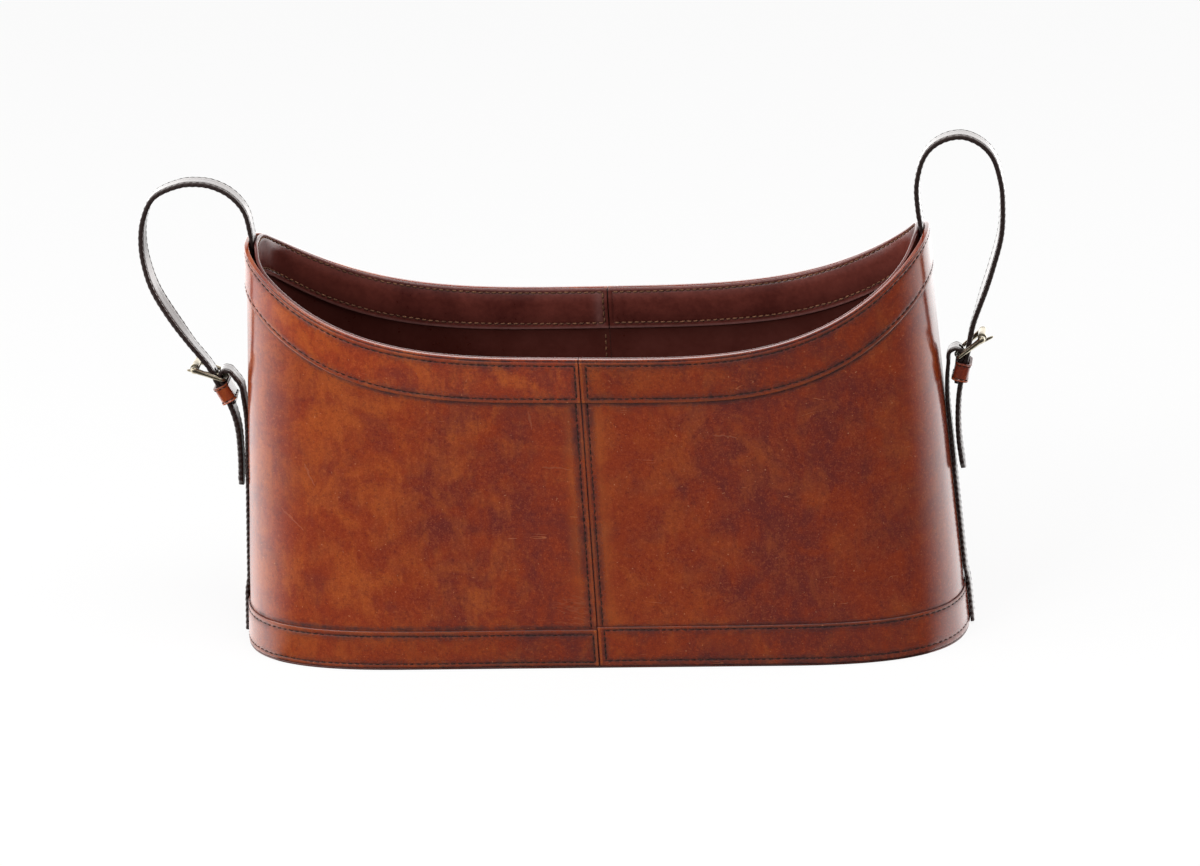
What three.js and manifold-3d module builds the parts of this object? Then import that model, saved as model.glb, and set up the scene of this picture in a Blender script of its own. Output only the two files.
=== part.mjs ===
import * as THREE from 'three';
import { mergeVertices } from 'three/addons/utils/BufferGeometryUtils.js';
import Module from 'manifold-3d';

// A leather magazine basket. Millimetres, +X along the length, -Y the front, +Z up,
// with the origin in the middle of the flat underside.

// The basket's body, measured over its leather bands
const baseLength = 450;
const baseDepth = 135;
const rimLength = 417;
const rimDepth = 119.4;
const endHeight = 260;
const middleHeight = 202.2;
const rimCurvePower = 3.57;
const cornerPower = 2.75;
const baseEndCurve = 114;
const rimEndCurve = 189;

// The front rim is cut by hand, a little lower than the back one, and more so on the right
const frontDip = 1.3;
const frontLean = 1.67;

// Seams between the left and right leathers
const frontSeamTop = -1.4;
const frontSeamFoot = 1.25;
const backSeam = 4.6;
const seamGap = 0.3;

// Layers of the wall, from outside to inside, with the clearance between touching layers
const layerGap = 0.3;
const bandProud = 0.6;
const bandThickness = 0.9;
const panelThickness = 1.4;
const coreThickness = 1.4;
const liningThickness = 1;
const facingThickness = 0.9;
const rimBandHeight = 28;
const bottomBandHeight = 24.5;
const facingHeight = 27;
const coreBelowRim = 8;

// The bottom
const coverThickness = 1.6;
const boardThickness = 5;
const baseLiningThickness = 1;

// Handle straps
const strapWidth = 12.4;
const strapThickness = 3;
const anchorThickness = 2.6;
const anchorGap = 0.5;
const anchorLength = 28;
const anchorRoom = 8;
const rootEase = 21;
const cutGap = 0.6;
const tipRound = 7;

// Buckle straps: sewn to the wall below, free and folded over the buckle above
const stripThickness = 2.4;
const tabThickness = 2.2;
const stripSeat = 0.3;
const stripEase = 12;
const peelLength = 24;
const freeRise = 8;
const freeLeanShare = 0.12;
const foldWidth = 8.4;
const keeperThickness = 1.4;
const keeperLength = 11;
const keeperPlay = 0.4;
const keeperDrop = 8.8;
const leafLength = 17;
const leafShares = [0.33, 0.67, 1];

// The fold over the heel bar, as shares of its width from the leaf and of its rise over the bar
const foldShares = [[1, -0.2], [0.857, 0.62], [0.5, 1], [0.131, 0.7], [0, 0]];

// Roller buckles, of round wire
const barRadius = 1.2;
const sideBarRadius = 1.3;
const cornerRadius = 1.5;
const barPlay = 0.12;
const rollerRadius = 2.75;
const rollerChamfer = 0.5;
const rollerPlay = 0.2;
const heelToRoller = 19.5;
const sidePlay = 0.5;
const prongRadius = 1.1;
const prongTipRadius = 0.8;
const prongEyeRadius = 2.3;
const prongEyeWidth = 2.6;
const prongRest = 0.2;
const prongTip = 4;
const slotPlay = 0.4;
const buckleSwing = THREE.MathUtils.degToRad(6);
const prongSwing = THREE.MathUtils.degToRad(12);

// Each end has its own loop. Its heights are measured from the rim. Shares of the strap's path
// go from the rim to the tail's tip: outward from the wall, or from the root where the path is
// above the rim, as a share of reach, and up from the tail's tip to the loop's top.
const ends = {
  left: {
    side: -1,
    reach: 68.5,
    loopRise: 37.4,
    tailDrop: 162,
    heelDrop: 92,
    peelDrop: 103,
    peelOut: 3,
    foldRise: 4.9,
    tilt: THREE.MathUtils.degToRad(22.3),
    pathShares: [
      [0, 0.812], [0.05, 0.908], [0.17, 0.962], [0.33, 0.992], [0.47, 1], [0.62, 0.996],
      [0.86, 0.958], [0.97, 0.885], [1, 0.807], [0.963, 0.727], [0.881, 0.646], [0.591, 0.484],
      [0.407, 0.399], [0.325, 0.341], [0.22, 0.273], [0.157, 0.199], [0.133, 0.1], [0.132, 0],
    ],
  },
  right: {
    side: 1,
    reach: 49.6,
    loopRise: 58.2,
    tailDrop: 157.5,
    heelDrop: 84.2,
    peelDrop: 94.2,
    peelOut: 2.6,
    foldRise: 4.6,
    tilt: THREE.MathUtils.degToRad(38.5),
    pathShares: [
      [0, 0.729], [-0.03, 0.79], [-0.032, 0.862], [0.052, 0.934], [0.161, 0.969], [0.323, 0.992],
      [0.518, 1], [0.671, 0.99], [0.815, 0.966], [0.919, 0.93], [0.992, 0.857], [1, 0.811],
      [0.962, 0.713], [0.802, 0.605], [0.61, 0.497], [0.488, 0.424], [0.403, 0.351],
      [0.349, 0.311], [0.258, 0.241], [0.207, 0.167], [0.188, 0.093], [0.202, 0],
    ],
  },
};

// How finely the curved forms are cut
const cornerSteps = 14;
const straightSteps = 2;
const wallRows = 5;
const strapSteps = 64;
const stripSteps = 30;
const foldSteps = 40;
const fineSteps = 400;
const roundSides = 16;
const rimRounds = 8;

const leather = { color: 0xa4501f, roughness: 0.38, metalness: 0 };
const bandLeather = { color: 0x9c4a1c, roughness: 0.38, metalness: 0 };
const innerLeather = { color: 0x4f211b, roughness: 0.45, metalness: 0 };
const blackLeather = { color: 0x35302e, roughness: 0.4, metalness: 0 };
const soleLeather = { color: 0x5c2418, roughness: 0.5, metalness: 0 };
const board = { color: 0xb09a78, roughness: 0.9, metalness: 0 };
const brass = { color: 0xa89a78, roughness: 0.35, metalness: 0.9 };

const group = new THREE.Group();

function addPiece(name, geometry, look) {
  const mesh = new THREE.Mesh(geometry, new THREE.MeshStandardMaterial(look));
  mesh.name = name;
  group.add(mesh);
}

// Depths of the layers, inward from the outside of the body
const panelInset = -bandProud + bandThickness + layerGap;
const coreInset = panelInset + panelThickness + layerGap;
const liningInset = coreInset + coreThickness + layerGap;
const facingInset = liningInset + liningThickness + layerGap;
const anchorInset = panelInset + panelThickness + anchorGap;
const rootSpread = anchorInset + anchorThickness + anchorGap - liningInset;
const seat = coverThickness + layerGap;

// The body's plan at a height: straight sides and curved ends, both shrinking upward
function plan(height) {
  const share = height / endHeight;
  return {
    halfLength: THREE.MathUtils.lerp(baseLength, rimLength, share) / 2,
    halfDepth: THREE.MathUtils.lerp(baseDepth, rimDepth, share) / 2,
    endCurve: THREE.MathUtils.lerp(baseEndCurve, rimEndCurve, share),
  };
}

function seamAt(face, height) {
  const share = height / middleHeight;
  return face < 0 ? THREE.MathUtils.lerp(frontSeamFoot, frontSeamTop, share) : backSeam;
}

// Stations round one quarter of the end, equally far apart, from its straight side to its tip
function quarterShares() {
  const depth = (baseDepth + rimDepth) / 4;
  const curve = (baseEndCurve + rimEndCurve) / 2;
  const fine = [{ along: 0, across: 1, length: 0 }];
  for (let i = 1; i <= fineSteps; i++) {
    const angle = (i / fineSteps) * Math.PI / 2;
    const along = Math.sin(angle) ** (2 / cornerPower);
    const across = i < fineSteps ? Math.cos(angle) ** (2 / cornerPower) : 0;
    const last = fine[i - 1];
    const step = Math.hypot((along - last.along) * curve, (across - last.across) * depth);
    fine.push({ along, across, length: last.length + step });
  }
  const total = fine[fineSteps].length;
  const picked = [];
  for (let i = 0; i <= cornerSteps; i++) {
    picked.push(fine.find((point) => point.length >= (i / cornerSteps) * total * (1 - Number.EPSILON)));
  }
  return picked;
}

// Stations of one half of the wall, from seam to seam, anticlockwise seen from above
function halfStations(half) {
  const quarter = quarterShares();
  const face = (front) => {
    const list = [];
    for (let i = 0; i < straightSteps; i++) {
      list.push({ half, face: front, straight: i / straightSteps, along: 0, across: 1 });
    }
    return list.concat(quarter.map((share) => ({ half, face: front, straight: 1, ...share })));
  };
  const stations = face(-1).concat(face(1).reverse().slice(1));
  return half > 0 ? stations : stations.reverse();
}

// The lining and the facing make room for the strap's root at the middle of each end
function spreadAt(station, height) {
  const { halfDepth } = plan(height);
  const rowHeight = (endHeight - seat) / wallRows;
  const away = (station.across * halfDepth - strapWidth) / rootEase;
  const below = (endHeight - anchorLength - rowHeight - height) / rowHeight;
  const sideways = 1 - THREE.MathUtils.smoothstep(away, 0, 1);
  return rootSpread * sideways * (1 - THREE.MathUtils.smoothstep(below, 0, 1));
}

// A point of the wall at a station and height, an inset inside the body's outer surface
function wallPoint(station, height, inset) {
  const { halfLength, halfDepth, endCurve } = plan(height);
  const { half, face, straight, along, across } = station;
  const corner = half * (halfLength - endCurve);
  const seam = seamAt(face, height) + half * seamGap / 2;
  const x = THREE.MathUtils.lerp(seam, corner, straight) + half * endCurve * along;
  const y = face * halfDepth * across;
  const normal = new THREE.Vector2(
    half * along ** (cornerPower - 1) / endCurve,
    face * across ** (cornerPower - 1) / halfDepth,
  ).normalize();
  const depth = inset + (inset >= liningInset ? spreadAt(station, height) : 0);
  return new THREE.Vector3(x - normal.x * depth, y - normal.y * depth, height);
}

// The height of the rim at a station
function rimAt(station) {
  const leanPeakShare = 2 / (3 * Math.sqrt(3));
  let height = middleHeight;
  for (let i = 0; i < rimRounds; i++) {
    const share = wallPoint(station, height, 0).x / plan(height).halfLength;
    height = THREE.MathUtils.lerp(middleHeight, endHeight, Math.abs(share) ** rimCurvePower);
    if (station.face < 0) {
      height -= frontDip * (1 - share ** 2) + frontLean * (share - share ** 3) / leanPeakShare;
    }
  }
  return height;
}

// A closed solid between two grids of points, the first one outside
function closedShell(outer, inner) {
  const columns = outer.length;
  const rows = outer[0].length;
  const points = outer.flat().concat(inner.flat());
  const index = [];
  const at = (layer, i, j) => (layer * columns + i) * rows + j;
  const quad = (a, b, c, d) => index.push(a, b, c, a, c, d);
  for (let i = 0; i < columns - 1; i++) {
    for (let j = 0; j < rows - 1; j++) {
      quad(at(0, i, j), at(0, i + 1, j), at(0, i + 1, j + 1), at(0, i, j + 1));
      quad(at(1, i, j), at(1, i, j + 1), at(1, i + 1, j + 1), at(1, i + 1, j));
    }
    quad(at(0, i, 0), at(1, i, 0), at(1, i + 1, 0), at(0, i + 1, 0));
    quad(at(0, i, rows - 1), at(0, i + 1, rows - 1), at(1, i + 1, rows - 1), at(1, i, rows - 1));
  }
  for (let j = 0; j < rows - 1; j++) {
    const last = columns - 1;
    quad(at(0, 0, j), at(0, 0, j + 1), at(1, 0, j + 1), at(1, 0, j));
    quad(at(0, last, j), at(1, last, j), at(1, last, j + 1), at(0, last, j + 1));
  }
  const geometry = new THREE.BufferGeometry().setFromPoints(points);
  geometry.setIndex(index);
  geometry.computeVertexNormals();
  return geometry;
}

// One sheet of the wall on one half, between two heights that may follow the rim
function wallSheet(half, inset, thickness, footAt, topAt, rows) {
  const grid = (depth) => halfStations(half).map((station) => {
    const foot = footAt(station);
    const top = topAt(station);
    const column = [];
    for (let j = 0; j <= rows; j++) {
      column.push(wallPoint(station, THREE.MathUtils.lerp(foot, top, j / rows), depth));
    }
    return column;
  });
  return closedShell(grid(inset), grid(inset + thickness));
}

function coreTopAt(station) {
  const besideRoot = station.across * rimDepth / 2 < (strapWidth + rootEase) / 2;
  return rimAt(station) - (besideRoot ? anchorLength + anchorRoom : coreBelowRim);
}

function addWalls() {
  const onCover = () => seat;
  for (const [side, { side: half }] of Object.entries(ends)) {
    const bandFoot = (station) => rimAt(station) - rimBandHeight;
    const facingFoot = (station) => rimAt(station) - facingHeight;
    const bandTop = () => seat + bottomBandHeight;
    const sheet = (...sizes) => wallSheet(half, ...sizes);
    addPiece(`outer_panel_${side}`, sheet(panelInset, panelThickness, onCover, rimAt, wallRows), leather);
    addPiece(`wall_core_${side}`, sheet(coreInset, coreThickness, onCover, coreTopAt, wallRows), board);
    addPiece(`lining_${side}`, sheet(liningInset, liningThickness, onCover, rimAt, wallRows), innerLeather);
    addPiece(`rim_band_${side}`, sheet(-bandProud, bandThickness, bandFoot, rimAt, 1), bandLeather);
    addPiece(`bottom_band_${side}`, sheet(-bandProud, bandThickness, onCover, bandTop, 1), bandLeather);
    addPiece(`rim_facing_${side}`, sheet(facingInset, facingThickness, facingFoot, rimAt, 1), innerLeather);
  }
}

// A flat plate that fills the plan at a height, an inset inside the body's outer surface
function plate(height, inset, thickness) {
  const outline = [1, -1].flatMap((half) => {
    const stations = halfStations(half).filter((station) => station.straight > 0);
    return stations.map((station) => wallPoint(station, height, inset));
  });
  const shape = new THREE.Shape(outline.map(({ x, y }) => new THREE.Vector2(x, y)));
  return new THREE.ExtrudeGeometry(shape, { depth: thickness, bevelEnabled: false });
}

function addBottom() {
  const inside = liningInset + liningThickness + layerGap;
  const liningFoot = seat + boardThickness + layerGap;
  addPiece('base_cover', plate(0, 0, coverThickness), soleLeather);
  addPiece('base_board', plate(liningFoot, inside, boardThickness).translate(0, 0, seat), board);
  const liningTop = liningFoot + baseLiningThickness;
  const baseLining = plate(liningTop, inside, baseLiningThickness).translate(0, 0, liningFoot);
  addPiece('base_lining', baseLining, innerLeather);
}

// Straps lie in the plane Y = 0. Their paths are drawn outward and up, as points (out, up).
const wallOut = (height) => plan(height).halfLength;
const rootInset = anchorInset + anchorThickness / 2;

// A path with a little frame at each of its equal steps: where it is, along and across it
function strapPath(points, steps) {
  const curve = new THREE.CatmullRomCurve3(
    points.map(([out, up]) => new THREE.Vector3(out, up, 0)), false, 'centripetal',
  );
  curve.arcLengthDivisions = fineSteps;
  const length = curve.getLength();
  const stops = [];
  for (let i = 0; i <= steps; i++) {
    const { x: out, y: up } = curve.getPointAt(i / steps);
    const { x: alongOut, y: alongUp } = curve.getTangentAt(i / steps);
    stops.push({ out, up, alongOut, alongUp, run: (i / steps) * length, toTip: (1 - i / steps) * length });
  }
  return stops;
}

// The last place on a path where one of its measures passes a value
function stopWhere(stops, measure, value) {
  const passes = (stop, i) => i > 0 && (stop[measure] - value) * (stops[i - 1][measure] - value) <= 0;
  const after = stops.findLastIndex(passes);
  const [from, to] = [stops[after - 1], stops[after]];
  const share = (value - from[measure]) / (to[measure] - from[measure]);
  return Object.fromEntries(Object.keys(to).map((key) => [key, THREE.MathUtils.lerp(from[key], to[key], share)]));
}

// A flat strap along a path: its faces are half a thickness to each side of the path
function ribbon(side, stops, thickness, widthAt) {
  const grid = (layer) => stops.map((stop) => {
    const shift = layer * thickness / 2;
    const x = side * (stop.out + side * shift * -stop.alongUp);
    const z = stop.up + side * shift * stop.alongOut;
    return [-1, 1].map((edge) => new THREE.Vector3(x, edge * widthAt(stop) / 2, z));
  });
  return closedShell(grid(1), grid(-1));
}

const fullWidth = () => strapWidth;

// The tail's tip is a half round
function tippedWidth({ toTip }) {
  const share = Math.min(toTip / tipRound, 1);
  return strapWidth * Math.sqrt(1 - (1 - share) ** 2 * (1 - tipFlatShare ** 2));
}
const tipFlatShare = 0.25;

// Joining and cutting of solids
const wasm = await Module();
wasm.setup();

function solid(geometry) {
  const bare = geometry.clone();
  bare.deleteAttribute('normal');
  if (bare.hasAttribute('uv')) bare.deleteAttribute('uv');
  const merged = mergeVertices(bare);
  return new wasm.Manifold(new wasm.Mesh({
    numProp: 3,
    vertProperties: new Float32Array(merged.attributes.position.array),
    triVerts: new Uint32Array(merged.index.array),
  }));
}

function geometryOf(body) {
  const mesh = body.getMesh();
  const geometry = new THREE.BufferGeometry();
  geometry.setAttribute('position', new THREE.BufferAttribute(mesh.vertProperties, 3));
  geometry.setIndex(new THREE.BufferAttribute(mesh.triVerts, 1));
  geometry.computeVertexNormals();
  return geometry;
}

// Lays a form, made with Y across the strap and X along a direction, at a point of the strap plane
function lay(geometry, side, [out, up], [alongOut, alongUp]) {
  const along = new THREE.Vector3(side * alongOut, 0, alongUp).normalize();
  const across = new THREE.Vector3(0, 1, 0);
  const normal = new THREE.Vector3().crossVectors(along, across);
  const matrix = new THREE.Matrix4().makeBasis(along, across, normal);
  return geometry.applyMatrix4(matrix).applyMatrix4(new THREE.Matrix4().makeTranslation(side * out, 0, up));
}

// What the buckle's place gives to all pieces near it. Inward is towards the wall.
function buckleFrame(end, stops) {
  const heelStop = stopWhere(stops, 'up', endHeight - end.heelDrop);
  const down = [heelStop.alongOut, heelStop.alongUp];
  const inward = [heelStop.alongUp, -heelStop.alongOut];
  const place = ([out, up], inwardBy, downBy) => [
    out + inward[0] * inwardBy + down[0] * downBy,
    up + inward[1] * inwardBy + down[1] * downBy,
  ];
  const leafInward = strapThickness / 2 + layerGap + tabThickness / 2;
  const heelInward = leafInward + tabThickness / 2 + layerGap + barRadius;
  const onStrap = [heelStop.out, heelStop.up];
  const heel = place(onStrap, heelInward, 0);
  const towards = [Math.cos(end.tilt), Math.sin(end.tilt)];
  const roller = [heel[0] + towards[0] * heelToRoller, heel[1] + towards[1] * heelToRoller];
  const prongBelow = Math.asin((rollerRadius + prongRadius + prongRest) / heelToRoller);
  const prongTilt = end.tilt - prongBelow;
  const prongTowards = [Math.cos(prongTilt), Math.sin(prongTilt)];
  // The prong's slope against the strap's face gives the lengths of the hole and the slot
  const rise = prongTilt - Math.atan2(-inward[1], -inward[0]);
  const leaf = (fromHeel) => stopWhere(stops, 'run', heelStop.run + fromHeel);
  return { down, place, leafInward, heelInward, heel, roller, prongTowards, rise, leaf };
}

// A cutter for the prong's way through a leather between two distances outward of the heel bar
function prongWay(frame, side, near, far, width) {
  const lift = (out, angle, edge) => out * Math.tan(angle) + edge * prongRadius / Math.cos(angle);
  const top = lift(far, frame.rise + buckleSwing, 1) + slotPlay;
  const foot = lift(near, frame.rise - buckleSwing - prongSwing, -1) - slotPlay;
  const length = top - foot;
  const middle = frame.place(frame.heel, -(near + far) / 2, -(top + foot) / 2);
  return solid(lay(new THREE.BoxGeometry(length, width, far - near), side, middle, frame.down));
}

// The strap leaves its root at the rim, goes over its loop and down past the buckle to its tail
function loopPoints(end) {
  const span = end.loopRise + end.tailDrop;
  const points = end.pathShares.map(([out, up]) => {
    const height = endHeight - end.tailDrop + up * span;
    return [wallOut(Math.min(height, endHeight)) - rootInset + out * end.reach, height];
  });
  points[0] = [wallOut(endHeight) - rootInset, endHeight + cutGap];
  return points;
}

function addHandle(name, end) {
  const { side } = end;
  const stops = strapPath(loopPoints(end), strapSteps);
  const frame = buckleFrame(end, stops);
  const holeWidth = 2 * (prongRadius + slotPlay);
  const strapNear = frame.heelInward - strapThickness / 2 - slotPlay;
  const strapFar = frame.heelInward + strapThickness / 2 + slotPlay;
  const strap = solid(ribbon(side, stops, strapThickness, tippedWidth));
  const hole = prongWay(frame, side, strapNear, strapFar, holeWidth);
  addPiece(`handle_strap_${name}`, geometryOf(strap.subtract(hole)), blackLeather);

  const anchorSteps = 2;
  const anchorFoot = endHeight - anchorLength;
  const anchor = strapPath([
    [wallOut(anchorFoot) - rootInset, anchorFoot],
    [wallOut(endHeight) - rootInset, endHeight],
  ], anchorSteps);
  addPiece(`handle_anchor_${name}`, ribbon(side, anchor, anchorThickness, fullWidth), blackLeather);
  return frame;
}

// The sewn strip runs up the wall, steps over the bottom band and leaves the wall below its top
function stripOut(end, height) {
  const half = stripThickness / 2;
  const peelFoot = endHeight - end.peelDrop - peelLength;
  const bandTop = seat + bottomBandHeight + layerGap;
  const overPanel = half + stripSeat - panelInset;
  const overBand = half + stripSeat + bandProud;
  const eased = THREE.MathUtils.smoothstep(height, bandTop, bandTop + stripEase);
  const peeled = Math.max(0, (height - peelFoot) / peelLength);
  const offset = THREE.MathUtils.lerp(overBand, overPanel, eased);
  return wallOut(height) + offset + (end.peelOut - offset) * Math.min(peeled, 1) ** 2;
}

// Its free end goes on as a tab that folds back over the heel bar and lies against the strap
function tabPath(end, { place, heel, leafInward, leaf }) {
  const behindBar = barRadius + layerGap + tabThickness / 2;
  const startHeight = endHeight - end.peelDrop;
  const start = stripOut(end, startHeight);
  const points = [
    [start, startHeight],
    [start + freeRise * freeLeanShare, startHeight + freeRise],
  ];
  for (const [widthShare, riseShare] of foldShares) {
    points.push(place(heel, widthShare * foldWidth - behindBar, -riseShare * end.foldRise));
  }
  for (const leafShare of leafShares) {
    const stop = leaf(leafLength * leafShare);
    points.push([stop.out + stop.alongUp * leafInward, stop.up - stop.alongOut * leafInward]);
  }
  return strapPath(points, foldSteps);
}

function addBuckleStrap(name, end, frame) {
  const { side } = end;
  const stripTop = endHeight - end.peelDrop - cutGap;
  const heights = [];
  for (let i = 0; i <= stripSteps; i++) {
    heights.push(THREE.MathUtils.lerp(seat, stripTop, i / stripSteps));
  }
  const strip = strapPath(heights.map((height) => [stripOut(end, height), height]), stripSteps);
  addPiece(`end_strip_${name}`, ribbon(side, strip, stripThickness, fullWidth), blackLeather);

  const tab = solid(ribbon(side, tabPath(end, frame), tabThickness, fullWidth));
  const slotWidth = prongEyeWidth + 2 * slotPlay;
  const slotFar = barRadius + layerGap + tabThickness + slotPlay;
  const eyeRoom = 2 * (prongEyeRadius + slotPlay);
  const way = prongWay(frame, side, 0, slotFar, slotWidth);
  const eyeMiddle = frame.place(frame.heel, -slotFar / 2, 0);
  const eye = solid(lay(new THREE.BoxGeometry(eyeRoom, slotWidth, slotFar), side, eyeMiddle, frame.down));
  addPiece(`buckle_tab_${name}`, geometryOf(tab.subtract(way).subtract(eye)), blackLeather);
}

// The keeper is a band of leather round the strap and the folded leaf
function addKeeper(name, end, frame) {
  const outward = strapThickness / 2 + keeperPlay;
  const inward = strapThickness / 2 + layerGap + tabThickness + keeperPlay;
  const halfWidth = strapWidth / 2 + keeperPlay;
  const ring = (grow) => [
    [-inward - grow, -halfWidth - grow],
    [outward + grow, -halfWidth - grow],
    [outward + grow, halfWidth + grow],
    [-inward - grow, halfWidth + grow],
  ].map(([out, y]) => new THREE.Vector2(-end.side * out, y));
  const section = new THREE.Shape(ring(keeperThickness));
  section.holes.push(new THREE.Path(ring(0).reverse()));
  const band = new THREE.ExtrudeGeometry(section, { depth: keeperLength, bevelEnabled: false });
  band.translate(0, 0, -keeperLength / 2).rotateY(Math.PI / 2);
  const stop = frame.leaf(keeperDrop);
  lay(band, end.side, [stop.out, stop.up], [stop.alongOut, stop.alongUp]);
  addPiece(`keeper_${name}`, band, leather);
}

// A bar across the strap, or between two points of the strap plane
function crossBar(radius, length) {
  return new THREE.CylinderGeometry(radius, radius, length, roundSides);
}

function wireBetween(side, from, to, radius, endRadius, y) {
  const start = new THREE.Vector3(side * from[0], y, from[1]);
  const finish = new THREE.Vector3(side * to[0], y, to[1]);
  const wire = new THREE.CylinderGeometry(endRadius, radius, start.distanceTo(finish), roundSides);
  const up = new THREE.Vector3(0, 1, 0);
  const turn = new THREE.Quaternion().setFromUnitVectors(up, finish.clone().sub(start).normalize());
  const middle = start.add(finish).divideScalar(2);
  return wire.applyQuaternion(turn).translate(middle.x, middle.y, middle.z);
}

function ringOf(innerRadius, outerRadius, width, chamfer) {
  const half = width / 2;
  const profile = [
    [innerRadius, -half], [outerRadius - chamfer, -half], [outerRadius, -half + chamfer],
    [outerRadius, half - chamfer], [outerRadius - chamfer, half], [innerRadius, half], [innerRadius, -half],
  ];
  return new THREE.LatheGeometry(profile.map(([r, y]) => new THREE.Vector2(r, y)), roundSides);
}

function addBuckle(name, end, frame) {
  const { side } = end;
  const { heel, roller, prongTowards } = frame;
  const at = (geometry, [out, up], y = 0) => geometry.translate(side * out, y, up);
  const barY = strapWidth / 2 + sidePlay + sideBarRadius;
  const corner = () => new THREE.SphereGeometry(cornerRadius, roundSides, roundSides / 2);
  let wire = solid(at(crossBar(barRadius, 2 * barY), heel));
  wire = wire.add(solid(at(crossBar(barRadius, 2 * barY), roller)));
  for (const y of [-barY, barY]) {
    wire = wire.add(solid(wireBetween(side, heel, roller, sideBarRadius, sideBarRadius, y)));
    wire = wire.add(solid(at(corner(), heel, y))).add(solid(at(corner(), roller, y)));
  }
  addPiece(`buckle_frame_${name}`, geometryOf(wire), brass);

  const rollerLength = 2 * (barY - cornerRadius - rollerPlay);
  const tube = ringOf(barRadius + barPlay, rollerRadius, rollerLength, rollerChamfer);
  addPiece(`buckle_roller_${name}`, at(tube, roller), brass);

  const point = (distance) => [heel[0] + prongTowards[0] * distance, heel[1] + prongTowards[1] * distance];
  const startAt = (barRadius + barPlay + prongEyeRadius) / 2;
  const tipAt = heelToRoller + prongTip;
  const eye = solid(at(ringOf(barRadius + barPlay, prongEyeRadius, prongEyeWidth, 0), heel));
  const rod = solid(wireBetween(side, point(startAt), point(tipAt), prongRadius, prongTipRadius, 0));
  const tip = solid(at(new THREE.SphereGeometry(prongTipRadius, roundSides, roundSides / 2), point(tipAt)));
  addPiece(`buckle_prong_${name}`, geometryOf(eye.add(rod).add(tip)), brass);
}

addWalls();
addBottom();
for (const [name, end] of Object.entries(ends)) {
  const frame = addHandle(name, end);
  addBuckleStrap(name, end, frame);
  addKeeper(name, end, frame);
  addBuckle(name, end, frame);
}

export default group;
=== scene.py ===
import math

import bpy
import numpy as np
from mathutils import Matrix, Vector


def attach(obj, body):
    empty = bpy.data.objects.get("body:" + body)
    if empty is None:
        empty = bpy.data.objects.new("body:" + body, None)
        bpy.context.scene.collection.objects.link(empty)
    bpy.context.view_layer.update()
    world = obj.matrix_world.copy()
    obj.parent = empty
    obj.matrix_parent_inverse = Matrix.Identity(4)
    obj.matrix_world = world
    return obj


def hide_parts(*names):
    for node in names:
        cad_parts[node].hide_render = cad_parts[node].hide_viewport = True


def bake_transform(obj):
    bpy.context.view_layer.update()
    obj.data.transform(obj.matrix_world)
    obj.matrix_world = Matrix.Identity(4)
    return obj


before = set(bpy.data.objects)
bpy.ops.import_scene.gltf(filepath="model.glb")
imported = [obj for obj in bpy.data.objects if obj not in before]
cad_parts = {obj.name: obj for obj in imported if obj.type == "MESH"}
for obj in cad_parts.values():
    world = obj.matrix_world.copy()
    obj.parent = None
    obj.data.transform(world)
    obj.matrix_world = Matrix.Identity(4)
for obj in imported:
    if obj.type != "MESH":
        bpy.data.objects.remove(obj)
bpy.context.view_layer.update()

# The view: a long lens from the front, a little right of the middle and 22 degrees above it,
# rolled a few degrees about its own axis.
view_turn = math.radians(7.011)
view_rise = math.radians(21.71)
view_roll = math.radians(-3.448)
view_middle = Vector((0.001656, 0, 0.12847))
view_distance = 3.9492

back = Vector((
    math.sin(view_turn) * math.cos(view_rise),
    -math.cos(view_turn) * math.cos(view_rise),
    math.sin(view_rise),
))
level_right = (-back).cross(Vector((0, 0, 1))).normalized()
level_up = level_right.cross(-back)
right = level_right * math.cos(view_roll) + level_up * math.sin(view_roll)
up = level_up * math.cos(view_roll) - level_right * math.sin(view_roll)
bpy.ops.object.camera_add()
camera = bpy.context.object
camera.name = "view"
camera.data.lens = 192.4
camera.data.sensor_width = 36
camera.data.clip_start = 0.1
camera.data.clip_end = 50
camera.matrix_world = (
    Matrix.Translation(view_middle + back * view_distance)
    @ Matrix((right, up, back)).transposed().to_4x4()
)
bpy.context.scene.camera = camera
bpy.context.scene.view_settings.view_transform = "Standard"


# The studio: a white floor, white paper behind and beside the basket, and soft boxes in front,
# overhead and at both sides. In front it is dark, so that the leather keeps its colour.
class Value:
    """A number that changes over a surface. Sums and products of it add their nodes."""

    def __init__(self, finish, socket):
        self.finish = finish
        self.socket = socket

    def join(self, operation, *values):
        return self.finish.math(operation, *values)

    def __add__(self, other):
        return self.join("ADD", self, other)

    __radd__ = __add__

    def __mul__(self, other):
        return self.join("MULTIPLY", self, other)

    __rmul__ = __mul__

    def __sub__(self, other):
        return self.join("SUBTRACT", self, other)

    def __rsub__(self, other):
        return self.join("SUBTRACT", other, self)

    def held(self, low=0.0, high=1.0):
        """Kept between two limits."""
        return self.join("MINIMUM", self.join("MAXIMUM", self, low), high)

    def between(self, low, high):
        """0 below low, 1 above high and a smooth rise between them."""
        return self.finish.node(
            "MapRange", {"Value": self, "From Min": low, "From Max": high},
            interpolation_type="SMOOTHSTEP",
        )["Result"]


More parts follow.
